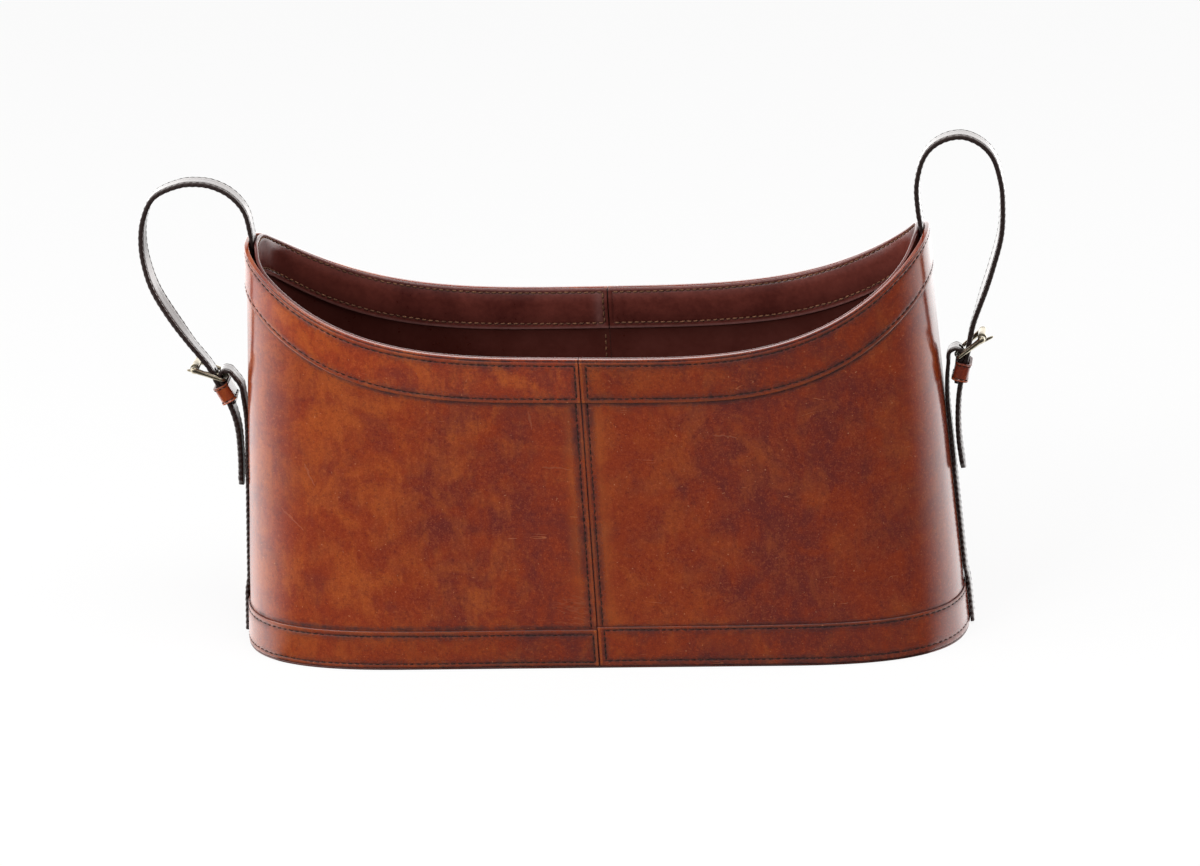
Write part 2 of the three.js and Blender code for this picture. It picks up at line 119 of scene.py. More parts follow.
class Finish:
    """A material or a world, and the nodes that are put into it."""

    def __init__(self, owner):
        self.owner = owner
        owner.use_nodes = True
        self.tree = owner.node_tree
        self.tree.nodes.clear()

    def node(self, kind, values=None, **settings):
        made = self.tree.nodes.new("ShaderNode" + kind)
        for name, setting in settings.items():
            setattr(made, name, setting)
        for key, value in (values or {}).items():
            socket = next((s for s in made.inputs if s.identifier == key), None) or made.inputs[key]
            if isinstance(value, Value):
                self.tree.links.new(value.socket, socket)
            elif isinstance(value, tuple) and len(value) == 3 and socket.type == "RGBA":
                socket.default_value = (*value, 1)
            else:
                socket.default_value = value
        return {s.identifier: Value(self, s) for s in made.outputs}

    def math(self, operation, *values):
        numbers = {("Value", "Value_001", "Value_002")[i]: v for i, v in enumerate(values)}
        return self.node("Math", numbers, operation=operation)["Value"]

    def mix(self, share, first, second, blend="MIX"):
        colours = {"Factor_Float": share, "A_Color": first, "B_Color": second}
        return self.node("Mix", colours, data_type="RGBA", blend_type=blend)["Result_Color"]

    def place(self, shift=(0, 0, 0), stretch=(1, 1, 1), turn=(0, 0, 0), kind="POINT"):
        """Where a point of the piece is, in metres, moved and stretched."""
        here = self.node("TexCoord")["Object"]
        values = {"Vector": here, "Location": shift, "Scale": stretch, "Rotation": turn}
        return self.node("Mapping", values, vector_type=kind)["Vector"]

    def noise(self, place, scale, detail=2.0, roughness=0.5, distortion=0.0):
        values = {
            "Vector": place, "Scale": scale, "Detail": detail, "Roughness": roughness,
            "Distortion": distortion,
        }
        return self.node("TexNoise", values)["Fac"]

    def attribute(self, name):
        return self.node("Attribute", attribute_name=name)["Fac"]

    def relief(self, height, strength, depth):
        values = {"Height": height, "Strength": strength, "Distance": depth}
        return self.node("Bump", values)["Normal"]

    def skin(self, colour, rough, normal, gloss=0.5, metal=0.0, tint=(1, 1, 1)):
        return self.node("BsdfPrincipled", {
            "Base Color": colour, "Roughness": rough, "Normal": normal, "Specular IOR Level": gloss,
            "Metallic": metal, "Specular Tint": tint,
        })["BSDF"]

    def surface(self, shader):
        kind = "OutputWorld" if isinstance(self.owner, bpy.types.World) else "OutputMaterial"
        self.node(kind, {"Surface": shader})
        return self.owner


def soft_box(name, place, aim, width, height, watts):
    bpy.ops.object.light_add(type="AREA", location=place)
    box = bpy.context.object
    box.name = name
    box.data.shape = "RECTANGLE"
    box.data.size = width
    box.data.size_y = height
    box.data.energy = watts
    box.rotation_euler = (Vector(aim) - Vector(place)).to_track_quat("-Z", "Y").to_euler()


soft_box("light_front", (-1.8, -2.3, 1.9), (0, 0, 0.15), 1.8, 1.4, 52)
soft_box("light_above", (0.5, -0.55, 2.0), (0, 0, 0.2), 1.0, 0.8, 20)
soft_box("light_left", (-2.0, -0.5, 0.9), (-0.1, 0, 0.15), 1.0, 1.4, 24)
soft_box("light_right", (2.3, 0.5, 0.9), (0.1, 0, 0.15), 1.0, 1.6, 12)

paper = Finish(bpy.data.worlds.new("white_paper"))
bpy.context.scene.world = paper.owner
ray = paper.node("LightPath")
direction = paper.node("SeparateXYZ", {"Vector": paper.node("TexCoord")["Generated"]})
behind = direction["Y"].between(-0.30, 0.35) * (1 - direction["Z"].between(0.35, 0.85) * 0.7)
overhead = direction["Z"].between(0.0, 0.45)
seen_level = (ray["Is Camera Ray"] + ray["Is Transmission Ray"]).held()
mirrored = ray["Is Glossy Ray"] * (behind * 3.0 + overhead * 0.45 + 0.08)
lit = (1 - ray["Is Camera Ray"]) * (1 - ray["Is Glossy Ray"]) * (1 - ray["Is Transmission Ray"])
level = seen_level + mirrored * (1 - seen_level) + lit * 0.30
paper.surface(paper.node("Background", {"Color": level, "Strength": 1.0})["Background"])

bpy.ops.mesh.primitive_plane_add(size=24)
floor = bpy.context.object
floor.name = "floor"
floor_paint = Finish(bpy.data.materials.new("floor_white"))
ray = floor_paint.node("LightPath")
own_light = floor_paint.node("Emission", {"Color": (1.0, 1.0, 1.0), "Strength": 1.02})["Emission"]
matt = floor_paint.node("BsdfDiffuse", {"Color": (0.8, 0.8, 0.8)})["BSDF"]
spot = floor_paint.node("SeparateXYZ", {"Vector": floor_paint.node("TexCoord")["Object"]})
beside = floor_paint.math("ABSOLUTE", spot["X"]) - 0.2
on_right = floor_paint.math("GREATER_THAN", spot["X"], 0.0)
round_end = floor_paint.math("ARCTAN2", beside, -1 * spot["Y"] - 0.05) * (180 / math.pi)
bearing = round_end - on_right * 14
bright = bearing.between(42, 102)
less_behind = 1 - bearing.between(112, 170) * 0.85
far_behind = spot["Y"].between(0.38, 1.0) * 3.0
mirror_level = 0.10 + bright * less_behind * 3.4 + far_behind
mirror_light = floor_paint.node("Emission", {"Color": mirror_level, "Strength": 1.0})["Emission"]
in_mirror = floor_paint.node("MixShader", {
    "Fac": ray["Is Glossy Ray"], "Shader": matt, "Shader_001": mirror_light,
})["Shader"]
floor_paint.surface(floor_paint.node("MixShader", {
    "Fac": ray["Is Camera Ray"] * 0.86, "Shader": in_mirror, "Shader_001": own_light,
})["Shader"])
floor.data.materials.append(floor_paint.owner)


# The outer panels: two pieces of glossy cognac leather, left and right, which meet edge to edge
# at a seam in the front and one in the back, each sewn down beside the seam.
end_height = 260.0
middle_height = 202.2
rim_curve = 3.57
front_dip, front_lean, lean_most = 1.3, 1.67, 0.3849
seat_height = 1.9
seam_gap = 0.3
panel_face = 0.6
panel_drop = 1.6
strap_width = 12.4
sides = {"left": -1, "right": 1}


def body_plan(height):
    """Half length, half depth and length of the curved end, all less at the rim than below."""
    share = height / end_height
    return 225 - 16.5 * share, 67.5 - 7.8 * share, 114 + 75 * share


def seam_place(face, height):
    return np.where(face < 0, 1.25 - 2.65 * height / middle_height, 4.6)


def run_along(points):
    """How far each point of a line is from the line's start."""
    steps = np.linalg.norm(np.diff(points, axis=0), axis=1)
    return np.concatenate(([0], np.cumsum(steps)))


class Stations:
    """Places along one half of the wall, from the front seam round the end to the back seam."""

    straight_steps = 14
    corner_steps = 60
    roundness = 2.75
    corner_size = (151.5, 63.6)

    near = np.array([
        0, 0.1, 0.25, 0.45, 0.7, 1, 1.4, 1.8, 2.1, 2.35, 2.6, 2.85, 3.1, 3.35, 3.6, 3.85, 4.1,
        4.4, 4.8, 5.4, 6.2, 7.2, 8.4, 10,
    ])

    def __init__(self, side):
        self.side = side
        angle = np.linspace(0, math.pi / 2, 2001)
        along = np.sin(angle) ** (2 / self.roundness)
        across = np.clip(np.cos(angle), 0, 1) ** (2 / self.roundness)
        long, deep = self.corner_size
        steps = np.hypot(np.diff(along) * long, np.diff(across) * deep)
        length = np.concatenate(([0], np.cumsum(steps)))
        picked = np.linspace(0, length[-1], self.corner_steps + 1)
        along = np.interp(picked, length, along)
        across = np.interp(picked, length, across)
        across[-1] = 0
        straight = np.linspace(0, 1, self.straight_steps + 1)[1:-1]
        near_count, flat_count = len(self.near), len(self.near) + len(straight)
        offset = np.concatenate((self.near, np.full(len(straight) + len(along), self.near[-1])))
        share = np.concatenate((np.zeros(near_count), straight, np.ones(len(along))))
        along = np.concatenate((np.zeros(flat_count), along))
        across = np.concatenate((np.ones(flat_count), across))
        self.offset, self.share, self.along, self.across = [
            np.concatenate((row, row[-2::-1])) for row in (offset, share, along, across)
        ]
        tip = len(offset) - 1
        self.face = np.where(np.arange(len(self.offset)) > tip, 1.0, -1.0)
        self.rim = self.rim_height()
        run = run_along(self.points(self.rim, 0))
        self.from_tip = np.abs(run - run[tip])

    def points(self, height, inset):
        """Points in millimetres on the wall, an inset inside the body's outer surface."""
        half_length, half_depth, end_curve = body_plan(height)
        corner = self.side * (half_length - end_curve)
        seam = seam_place(self.face, height) + self.side * (seam_gap / 2 + self.offset)
        x = seam + (corner - seam) * self.share + self.side * end_curve * self.along
        y = self.face * half_depth * self.across
        normal = self.normals(height)
        return np.stack((x - normal[:, 0] * inset, y - normal[:, 1] * inset, x * 0 + height), -1)

    def normals(self, height):
        _, half_depth, end_curve = body_plan(height)
        nx = self.side * self.along ** (self.roundness - 1) / end_curve
        ny = self.face * self.across ** (self.roundness - 1) / half_depth
        size = np.hypot(nx, ny)
        return np.stack((nx / size, ny / size, nx * 0), -1)

    def rim_height(self):
        height = np.full(len(self.face), middle_height)
        for _ in range(8):
            share = self.points(height, 0)[:, 0] / body_plan(height)[0]
            height = middle_height + (end_height - middle_height) * np.abs(share) ** rim_curve
            hand_cut = -front_dip * (1 - share**2) - front_lean * (share - share**3) / lean_most
            height = height + np.where(self.face < 0, hand_cut, 0)
        return height

    def seam_run(self, height):
        """How far each point is from the front and from the back seam, along the wall."""
        run = run_along(self.points(height, 0))
        return run, run[-1] - run


def smooth(value, low, high):
    share = np.clip((value - low) / (high - low), 0, 1)
    return share * share * (3 - 2 * share)


def hollow(distance, width):
    return np.exp(-((distance / width) ** 2))


def most(*marks):
    """The strongest of some marks at every place."""
    strongest = marks[0]
    for mark in marks[1:]:
        strongest = np.maximum(strongest, mark)
    return strongest


def edge_round(stations, radius):
    """How far the cut edge at a seam is rounded back at each station."""
    from_edge = np.where(stations.share > 0, radius, np.minimum(stations.offset, radius))
    return radius - np.sqrt(radius**2 - (radius - from_edge) ** 2)


def ripple(stations, height):
    """The slow waves of a hand-made wall, still at the straps and the rim."""
    x, y, z = stations.points(height, 0).T
    wave = (
        np.sin(x / 13.7 + z / 31 + 1.1) * 0.10 + np.sin(x / 23.1 - z / 19 + 0.4) * 0.14
        + np.sin(z / 14.3 + y / 27 + x / 61 + 2.2) * 0.10 + np.sin(y / 11.9 + z / 43) * 0.08
        + np.sin(x / 7.3 + z / 9.1) * 0.03
    )
    at_strap = 1 - hollow(y, 13) * (np.abs(x) > 150)
    return wave * at_strap * smooth(stations.rim - z, 0, 9)


def box_distance(run, run_back, height, low, high, seam_offset):
    """How far a point is from the stitching round a band: two rows and a column at each seam."""
    across = np.maximum(seam_offset - run, seam_offset - run_back)
    upright = np.maximum(low - height, height - high)
    outside = np.hypot(np.maximum(across, 0), np.maximum(upright, 0))
    return np.abs(outside + np.minimum(np.maximum(across, upright), 0))


def sheet_mesh(name, grid, marks=None, angle=50):
    """A closed solid from a grid of points in millimetres whose last row meets its first."""
    rows, columns, _ = grid.shape
    bpy.ops.object.select_all(action="DESELECT")
    bpy.ops.mesh.primitive_grid_add(x_subdivisions=columns - 1, y_subdivisions=rows - 1)
    piece = bpy.context.object
    piece.name = piece.data.name = name
    piece.data.vertices.foreach_set("co", (grid.reshape(-1) * 0.001).astype(np.float32))
    while piece.data.uv_layers:
        piece.data.uv_layers.remove(piece.data.uv_layers[0])
    for mark, values in (marks or {}).items():
        attribute = piece.data.attributes.new(mark, "FLOAT", "POINT")
        attribute.data.foreach_set("value", np.asarray(values).reshape(-1).astype(np.float32))
    bpy.ops.object.mode_set(mode="EDIT")
    bpy.ops.mesh.select_all(action="SELECT")
    bpy.ops.mesh.remove_doubles(threshold=1e-6)
    bpy.ops.mesh.select_all(action="SELECT")
    bpy.ops.mesh.fill_holes(sides=0)
    bpy.ops.mesh.select_all(action="SELECT")
    bpy.ops.mesh.normals_make_consistent(inside=False)
    bpy.ops.object.mode_set(mode="OBJECT")
    bpy.ops.object.shade_smooth_by_angle(angle=math.radians(angle))
    return piece


def wall_sheet(name, stations, rows):
    """Rows are (height, inset, crease, rub_and_sheen), round the sheet's section and back to the first."""
    grid, crease, rub_and_sheen = [], [], []
    for height, inset, dark, wear_and_sheen in rows + rows[:1]:
        height = stations.rim * 0 + height
        grid.append(stations.points(height, inset))
        crease.append(stations.rim * 0 + dark)
        rub_and_sheen.append(stations.rim * 0 + wear_and_sheen)
    return sheet_mesh(name, np.array(grid), {"crease": crease, "rub_and_sheen": rub_and_sheen})


def old_crease(f, spot, angle, reach):
    """A short line where the leather was once folded, wavering a little, round one spot."""
    here = f.place(spot, turn=(0, math.radians(angle), 0), kind="TEXTURE")
    apart = f.node("SeparateXYZ", {"Vector": here})
    bent = f.math("ABSOLUTE", apart["Z"] + (f.noise(here, 120, 2, 0.5) - 0.5) * 0.005)
    ends = f.math("ABSOLUTE", apart["X"]).between(reach * 0.3, reach)
    deep = f.math("ABSOLUTE", apart["Y"]).between(0.02, 0.03)
    return (1 - bent.between(0.0, 0.0007)) * (1 - ends) * (1 - deep)


def wrinkles(f, spot, angle, reach):
    """Fine wrinkles side by side, fading out round one spot."""
    here = f.place(spot, (5, 1, 1), (0, math.radians(angle), 0), "TEXTURE")
    lines = f.math("ABSOLUTE", f.noise(here, 260, 2, 0.5, 0.3) - 0.5)
    ends = {"Vector": f.node("TexCoord")["Object"], "Vector_001": spot}
    away = f.node("VectorMath", ends, operation="DISTANCE")["Value"]
    return (1 - lines.between(0.0, 0.05)) * (1 - away.between(reach * 0.35, reach))


def cognac(name, shift, golden=0.8, maroon=0.72, depth=0.94, creases=(), folds=()):
    """Waxed and brushed cognac leather: red-orange, clouded with maroon and rubbed golden, with painted shade
    and painted light in fixed bands along its length.
    """
    f = Finish(bpy.data.materials.new(name))
    tone = lambda *colour: tuple(part * depth for part in colour)
    here = f.place(shift)
    cloud = f.noise(here, 15, 3, 0.5, 0.5)
    patch = f.noise(here, 62, 6, 0.62, 0.6)
    gilt = f.noise(f.place((shift[0] + 3.1, shift[1], shift[2] + 0.7)), 36, 6, 0.60, 0.7)
    streak = f.noise(f.place(shift, (1.0, 1.0, 0.2), (0.1, 0.12, 0)), 300, 4, 0.65, 0.3)
    fine = f.noise(here, 430, 4, 0.7)
    grain = f.noise(here, 1150, 3, 0.65)
    x = f.node("SeparateXYZ", {"Vector": f.node("TexCoord")["Object"]})["X"]
    # deep: darker bands across the middle of each half, at fixed places along x, are painted shade.
    deep = x.between(-0.075, -0.02) * (1 - x.between(-0.008, -0.001))
    deep = deep + x.between(0.05, 0.11) * (1 - x.between(0.15, 0.20))
    # pale: paler towards the left end is painted light beside the glare there; a narrow paler strip also lies
    # just right of the front seam.
    pale = 1 - x.between(-0.17, -0.09) + x.between(0.0, 0.006) * (1 - x.between(0.010, 0.022))
    # The maroon clouding takes in the painted shade bands, and the golden rubbing takes in the painted light.
    maroon_cloud_and_shade = (cloud * 0.40 + patch * 0.50 + streak * 0.16 + deep * 0.055 - pale * 0.03).between(0.45, 0.70)
    rubbed_and_lit = (gilt * 0.72 + patch * 0.12 + streak * 0.26 + pale * 0.05 - deep * 0.03).between(0.49, 0.72)
    body = f.mix(maroon_cloud_and_shade * maroon, tone(0.218, 0.0275, 0.0070), tone(0.098, 0.0148, 0.0138))
    body = f.mix(rubbed_and_lit * golden, body, tone(0.335, 0.069, 0.0105))
    pores = (fine * 0.5 + grain * 0.6)
    body = f.mix(pores.between(0.54, 0.72) * 0.55, body, tone(0.075, 0.011, 0.008))
    body = f.mix(pores.between(0.54, 0.38) * 0.36, body, tone(0.42, 0.095, 0.028))
    crease, rub_and_sheen = f.attribute("crease"), f.attribute("rub_and_sheen")
    # Lighter golden where the rub mark is set: real wear beside the seams and along band edges, and a painted
    # highlight on the rim band's ridge.
    wear_and_sheen = (rub_and_sheen * (patch * 1.7 + fine * 1.3 - 0.9)).held()
    body = f.mix(wear_and_sheen * 0.8, body, (0.37, 0.088, 0.014))
    # Darker where the crease mark is set: real staining along the stitches, and painted shade at the seam
    # slits, under the bands' edges and in the valley under the rim's crest.
    stain_and_shade = (crease * (fine * 2.2 + patch * 2.2 - 1.35)).held()
    body = f.mix(stain_and_shade * 0.9, body, (0.024, 0.007, 0.008))
    hair = f.noise(f.place(shift, (0.12, 1.0, 1.0), (0.1, 0.35, 0.0)), 75, 2, 0.4, 0.25)
    line = 1 - f.math("ABSOLUTE", hair - 0.5).between(0.0, 0.004)
    scratch = line * f.noise(f.place((1.7, shift[0], 0.4)), 60, 2, 0.5).between(0.63, 0.70)
    body = f.mix(scratch * 0.36, body, (0.40, 0.12, 0.03))
    for crease_at in creases:
        scratch = scratch + old_crease(f, *crease_at)
    for fold in folds:
        scratch = scratch + wrinkles(f, *fold) * 0.6
    if creases or folds:
        body = f.mix(scratch.held() * 0.24, body, (0.38, 0.10, 0.022))
    speck = f.noise(here, 700, 1, 0.4).between(0.75, 0.80)
    body = f.mix(speck * 0.4, body, (0.55, 0.24, 0.11))
    rough = (0.145 + maroon_cloud_and_shade * 0.04 + pores * 0.09 + stain_and_shade * 0.35 + scratch * 0.2).held()
    height = patch * 0.34 + streak * 0.20 + fine * 0.10 + grain * 0.08 + scratch * 0.25
    return f.surface(f.skin(body, rough, f.relief(height, 0.22, 0.0006), 0.45))


stations = {side: Stations(sign) for side, sign in sides.items()}
panel_stitch = {"left": 3.4, "right": 3.3}
panel_leather = {
    "left": cognac(
        "panel_leather_left", (0.31, 0.2, 0.11), 0.74, 0.72, 0.94,
        [
            ((-0.019, -0.064, 0.131), 9, 0.012), ((-0.033, -0.062, 0.162), 84, 0.008),
            ((-0.185, -0.050, 0.095), 42, 0.013), ((-0.172, -0.052, 0.125), 66, 0.010),
        ],
        [((-0.013, -0.066, 0.036), 14, 0.019)],
    ),
    "right": cognac(
        "panel_leather_right", (1.37, 0.5, 0.92), 0.52, 0.78, 0.9,
        [((0.085, -0.064, 0.150), 12, 0.009)],
    ),
}

for side in sides:
    st = stations[side]
    rounded = edge_round(st, 0.5)
    low = [seat_height, 14, 22, 25, 26.2, 26.8, 27.4, 28.2, 29.4, 31]
    upper = [31.5, 30.3, 29.3, 28.8, 28.4, 28, 27, 24, 14, panel_drop]
    heights = [st.rim * 0 + h for h in low]
    heights += [31 + (st.rim - 31.5 - 31) * k / 34 for k in range(1, 34)]
    heights += [st.rim - drop for drop in upper]
    rows = []
    for height in heights:
        run, run_back = st.seam_run(height)
        column = panel_stitch[side]
        from_stitch = np.minimum(np.abs(run - column), np.abs(run_back - column))
        from_seam = np.minimum(run, run_back)
        inset = panel_face + rounded + 0.18 * hollow(from_stitch, 0.5) + 0.16 * hollow(from_stitch, 1.5)
        # at_band darkens the panel along the bands' edges, where they overlap it: painted shade.
        at_band = np.maximum(hollow(height - 26.8, 1.6), hollow(st.rim - height - 28.2, 1.8))
        crease = most(
            0.95 * hollow(from_stitch, 0.75), 0.95 * hollow(from_seam, 0.35),
            0.55 * hollow(from_stitch, 3.8), at_band * 0.8,
        )
        rub_and_sheen = 0.9 * hollow(from_seam - 1.2, 0.6) + 0.5 * hollow(from_seam - 8.5, 2.2)
        rows.append((height, inset - ripple(st, height), crease, rub_and_sheen))
    rows += [(height, 2.0, 0.4, 0) for height in (heights[-1], heights[0])]
    panel = wall_sheet(f"panel_{side}", st, rows)
    panel.data.materials.append(panel_leather[side])
    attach(panel, "basket")
    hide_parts(f"outer_panel_{side}")


# The seams: the two halves meet edge to edge, and a near-black fill in the hair's breadth between
# their leathers, from just under the surface to the lining, is painted shade in the slit.
seam_shade_half, seam_shade_face, seam_shade_back = 0.14, 1.3, 4.8
seam_shade = Finish(bpy.data.materials.new("seam_shade_fill"))
lumps = seam_shade.noise(seam_shade.place(), 700, 3, 0.6)
# Near-black colour of the fill: painted shade in the slit between the halves.
slit_shade = seam_shade.mix(lumps, (0.010, 0.004, 0.003), (0.035, 0.014, 0.010))
seam_shade.surface(seam_shade.skin(slit_shade, 0.55 + lumps * 0.3, seam_shade.relief(lumps, 0.4, 0.0002)))

for name, face in (("front", -1), ("back", 1)):
    top = stations["left"].rim[0 if face < 0 else -1] - panel_drop
    heights = np.linspace(seat_height + 0.1, top, 40)
    middle = seam_place(face, heights)
    rows = []
    corners = [(-1, seam_shade_face), (1, seam_shade_face), (1, seam_shade_back), (-1, seam_shade_back)]
    for way, inset in corners + corners[:1]:
        depth = face * (body_plan(heights)[1] - inset)
        rows.append(np.stack((middle + way * seam_shade_half, depth, heights), -1))
    shade_fill = sheet_mesh(f"seam_shade_fill_{name}", np.array(rows), angle=30)
    shade_fill.data.materials.append(seam_shade.owner)
    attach(shade_fill, "basket")


# The rim bands: a strip of the same leather on each half, folded over the top of the wall and
# sewn round with a row under the rim, a row along its lower edge and a column at each seam.
rim_rows = {"left": (4.2, 25.3), "right": (3.9, 25.1)}
band_column = {"left": 2.5, "right": 4.1}
band_depth = 28
band_face = -0.6
band_back = 0.3
band_leather = {
    "left": cognac("band_leather_left", (2.31, 0.6, 0.4), 0.88, 0.62, 1.07),
    "right": cognac("band_leather_right", (3.57, 0.9, 0.2), 0.56, 0.8, 0.84),
}


def drawn_in(from_stitch, from_seam):
    """How far the thread draws a band in, and how dark the leather is beside thread and seam."""
    pulled = 0.18 * hollow(from_stitch, 0.5) + 0.14 * hollow(from_stitch, 1.3)
    thread_mark = most(0.95 * hollow(from_stitch, 0.75), 0.5 * hollow(from_stitch, 2.6))
    return pulled, np.maximum(thread_mark, 0.95 * hollow(from_seam, 0.35))


for side in sides:
    st = stations[side]
    rounded = edge_round(st, 0.45)
    squared = lambda v: math.copysign(abs(v) ** 0.45, v)
    fold = [(squared(math.cos(a)), squared(math.sin(a))) for a in np.linspace(0, math.pi, 25)]
    outer = [(band_depth, 0.1), (27.9, -0.15), (27.7, -0.34), (27.4, -0.47), (27.0, -0.55)]
    outer += [(drop, band_face) for drop in (
        26.6, 26.2, 25.8, 25.5, 25.2, 24.9, 24.6, 24.2, 23.6, 22.6, *np.linspace(21, 8, 9), 7, 6.3,
        5.8, 5.4, 5.1, 4.8, 4.5, 4.2, 3.8, 3.4, 3.0, 2.6, 2.3, 2.1, 1.9, 1.75, 1.6, 1.45, 1.3,
    )]
    outer += [(1.15 - 1.15 * s, 0.75 - 1.35 * c) for c, s in fold]
    rows = []
    for drop, base_inset in outer:
        height = st.rim - drop
        run, run_back = st.seam_run(height)
        from_stitch = box_distance(run, run_back, drop, *rim_rows[side], band_column[side])
        from_seam = np.minimum(run, run_back)
        on_face = 1.0 if base_inset < 0.2 else 0.0
        pulled, crease = drawn_in(from_stitch, from_seam)
        rolled = 0.22 * hollow(drop - 1.6, 0.35) - 0.12 * hollow(drop - 2.8, 0.6)
        inset = base_inset + on_face * (rounded + pulled + rolled * (base_inset < -0.5))
        # Darker along the band's lower edge and in the valley under the crest: painted shade.
        crease = most(crease, hollow(drop - band_depth, 0.35), 1.1 * hollow(drop - 1.3, 0.6))
        rub_and_sheen = hollow(from_seam - 1.2, 0.6) + 0.6 * hollow(drop - 27.0, 0.6)
        # Lighter on the rolled ridge under the crest: a painted highlight.
        rub_and_sheen = rub_and_sheen + 0.35 * hollow(drop - 2.7, 0.5)
        rows.append((height, inset - ripple(st, height) * on_face, crease * on_face, rub_and_sheen))
    rows += [(st.rim - 1.45, inset, 0.5, 0) for inset in (2.1, band_back)]
    for drop, wave_drop in ((12, 12), (band_depth, band_depth - 1)):
        rows.append((st.rim - drop, band_back - ripple(st, st.rim - wave_drop), 0.5, 0))
    band = wall_sheet(f"rim_band_skin_{side}", st, rows)
    band.data.materials.append(band_leather[side])
    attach(band, "basket")
    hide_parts(f"rim_band_{side}")


# The bottom bands: the same strips round the foot of the wall, down to the sole.
foot_leather = {
    "left": cognac("foot_leather_left", (4.4, 0.2, 1.3), 0.62, 0.78, 0.88),
    "right": cognac("foot_leather_right", (5.9, 1.6, 0.5), 0.5, 0.78, 0.88),
}
foot_tops = {"left": 25.7, "right": 27.4}
foot_rows = {"left": (3.3, 2.4), "right": (2.1, 3.4)}

for side in sides:
    st = stations[side]
    rounded = edge_round(st, 0.45)
    top = foot_tops[side]
    below_top, above_foot = foot_rows[side]
    low, high = seat_height + above_foot, top - below_top
    heights = [(seat_height, -0.3), (2.1, -0.48), (2.5, -0.58)]
    heights += [(low + d, band_face) for d in (-0.9, -0.5, -0.25, 0, 0.25, 0.5, 0.9, 1.6)]
    heights += [(h, band_face) for h in np.linspace(low + 3, high - 3, 8)]
    heights += [(high + d, band_face) for d in (-1.6, -0.9, -0.5, -0.25, 0, 0.25, 0.5, 0.9)]
    edge = ((0.8, -0.56), (0.45, -0.47), (0.2, -0.34), (0.05, -0.15), (0, 0.1))
    heights += [(top - below, inset) for below, inset in edge]
    rows = []
    for level, base_inset in heights:
        height = st.rim * 0 + level
        run, run_back = st.seam_run(height)
        from_stitch = box_distance(run, run_back, height, low, high, band_column[side])
        from_seam = np.minimum(run, run_back)
        pulled, crease = drawn_in(from_stitch, from_seam)
        inset = base_inset + rounded + pulled - ripple(st, height)
        crease = most(crease, hollow(height - top, 0.3), 0.9 * hollow(height - 1.9, 0.8))
        rub_and_sheen = hollow(from_seam - 1.2, 0.6) + 0.5 * hollow(height - top + 0.9, 0.5)
        rub_and_sheen = rub_and_sheen + 0.5 * hollow(height - 3.4, 0.7)
        rows.append((height, inset, crease, rub_and_sheen))
    for level in (top, seat_height):
        height = st.rim * 0 + level
        rows.append((height, band_back - ripple(st, height), 0.5, 0))
    band = wall_sheet(f"bottom_band_skin_{side}", st, rows)
    band.data.materials.append(foot_leather[side])
    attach(band, "basket")
    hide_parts(f"bottom_band_{side}")


# The inside: a thin dark red-brown lining on each half, and a facing of the same leather round
# the top, folded over the lining. Both bend outward at the rim, away from the strap's root.
gap_run = {"left": (15, 38), "right": (20, 54)}
rim_lean, lean_depth = 1.55, 9
room_reach, root_length, root_stand = 21, 51.6, 1.6
lining_back, lining_face, facing_back, facing_face = 4.0, 5.0, 5.3, 6.2
facing_depth = 26.3
facing_rows = (2.4, 22.6)
facing_column = 2.7


def inner_leather(name, shift, base=(0.060, 0.0115, 0.0080), pale=(0.105, 0.026, 0.020)):
    f = Finish(bpy.data.materials.new(name))
    here = f.place(shift)
    cloud = f.noise(here, 17, 3, 0.55, 0.4)
    fine = f.noise(here, 320, 3, 0.6)
    grain = f.noise(here, 1500, 2, 0.5)
    body = f.mix((cloud * 0.8 + fine * 0.3 - 0.05).between(0.3, 0.75), base, pale)
    # Darker where the crease mark is set: real staining at the stitches and seams, and painted shade just
    # below the facing's lower edge.
    stain_and_shade = (f.attribute("crease") * (0.5 + fine)).held()
    body = f.mix(stain_and_shade * 0.8, body, (0.018, 0.005, 0.004))
    # Pale pink where the rub mark is set: on the facing, painted highlights.
    body = f.mix((f.attribute("rub_and_sheen") * (0.4 + fine)).held() * 0.7, body, (0.26, 0.13, 0.12))
    rough = (0.20 + fine * 0.12 + cloud * 0.08).held()
    return f.surface(f.skin(body, rough, f.relief(fine * 0.5 + grain * 0.4, 0.2, 0.0004), 0.4))


lining_finish = inner_leather("lining_leather", (0.7, 1.3, 0.2))
facing_finish = inner_leather(
    "facing_leather", (4.1, 0.3, 0.7), (0.058, 0.0105, 0.0085), (0.160, 0.036, 0.026),
)


def root_room(stations, height):
    """How far lining and facing stand in beside the strap's root."""
    away = (stations.across * body_plan(height)[1] - strap_width) / room_reach
    below = (end_height - band_depth - root_length - height) / root_length
    return root_stand * (1 - smooth(away, 0, 1)) * (1 - smooth(below, 0, 1))


def inner(side, drop, inset):
    """Height and inset of a place inside, drop below the rim, with room for the strap's root."""
    st = stations[side]
    height = st.rim - drop
    lean = rim_lean * smooth(st.from_tip, *gap_run[side]) * (1 - smooth(drop, 0, lean_depth))
    return height, inset + root_room(st, height) - lean


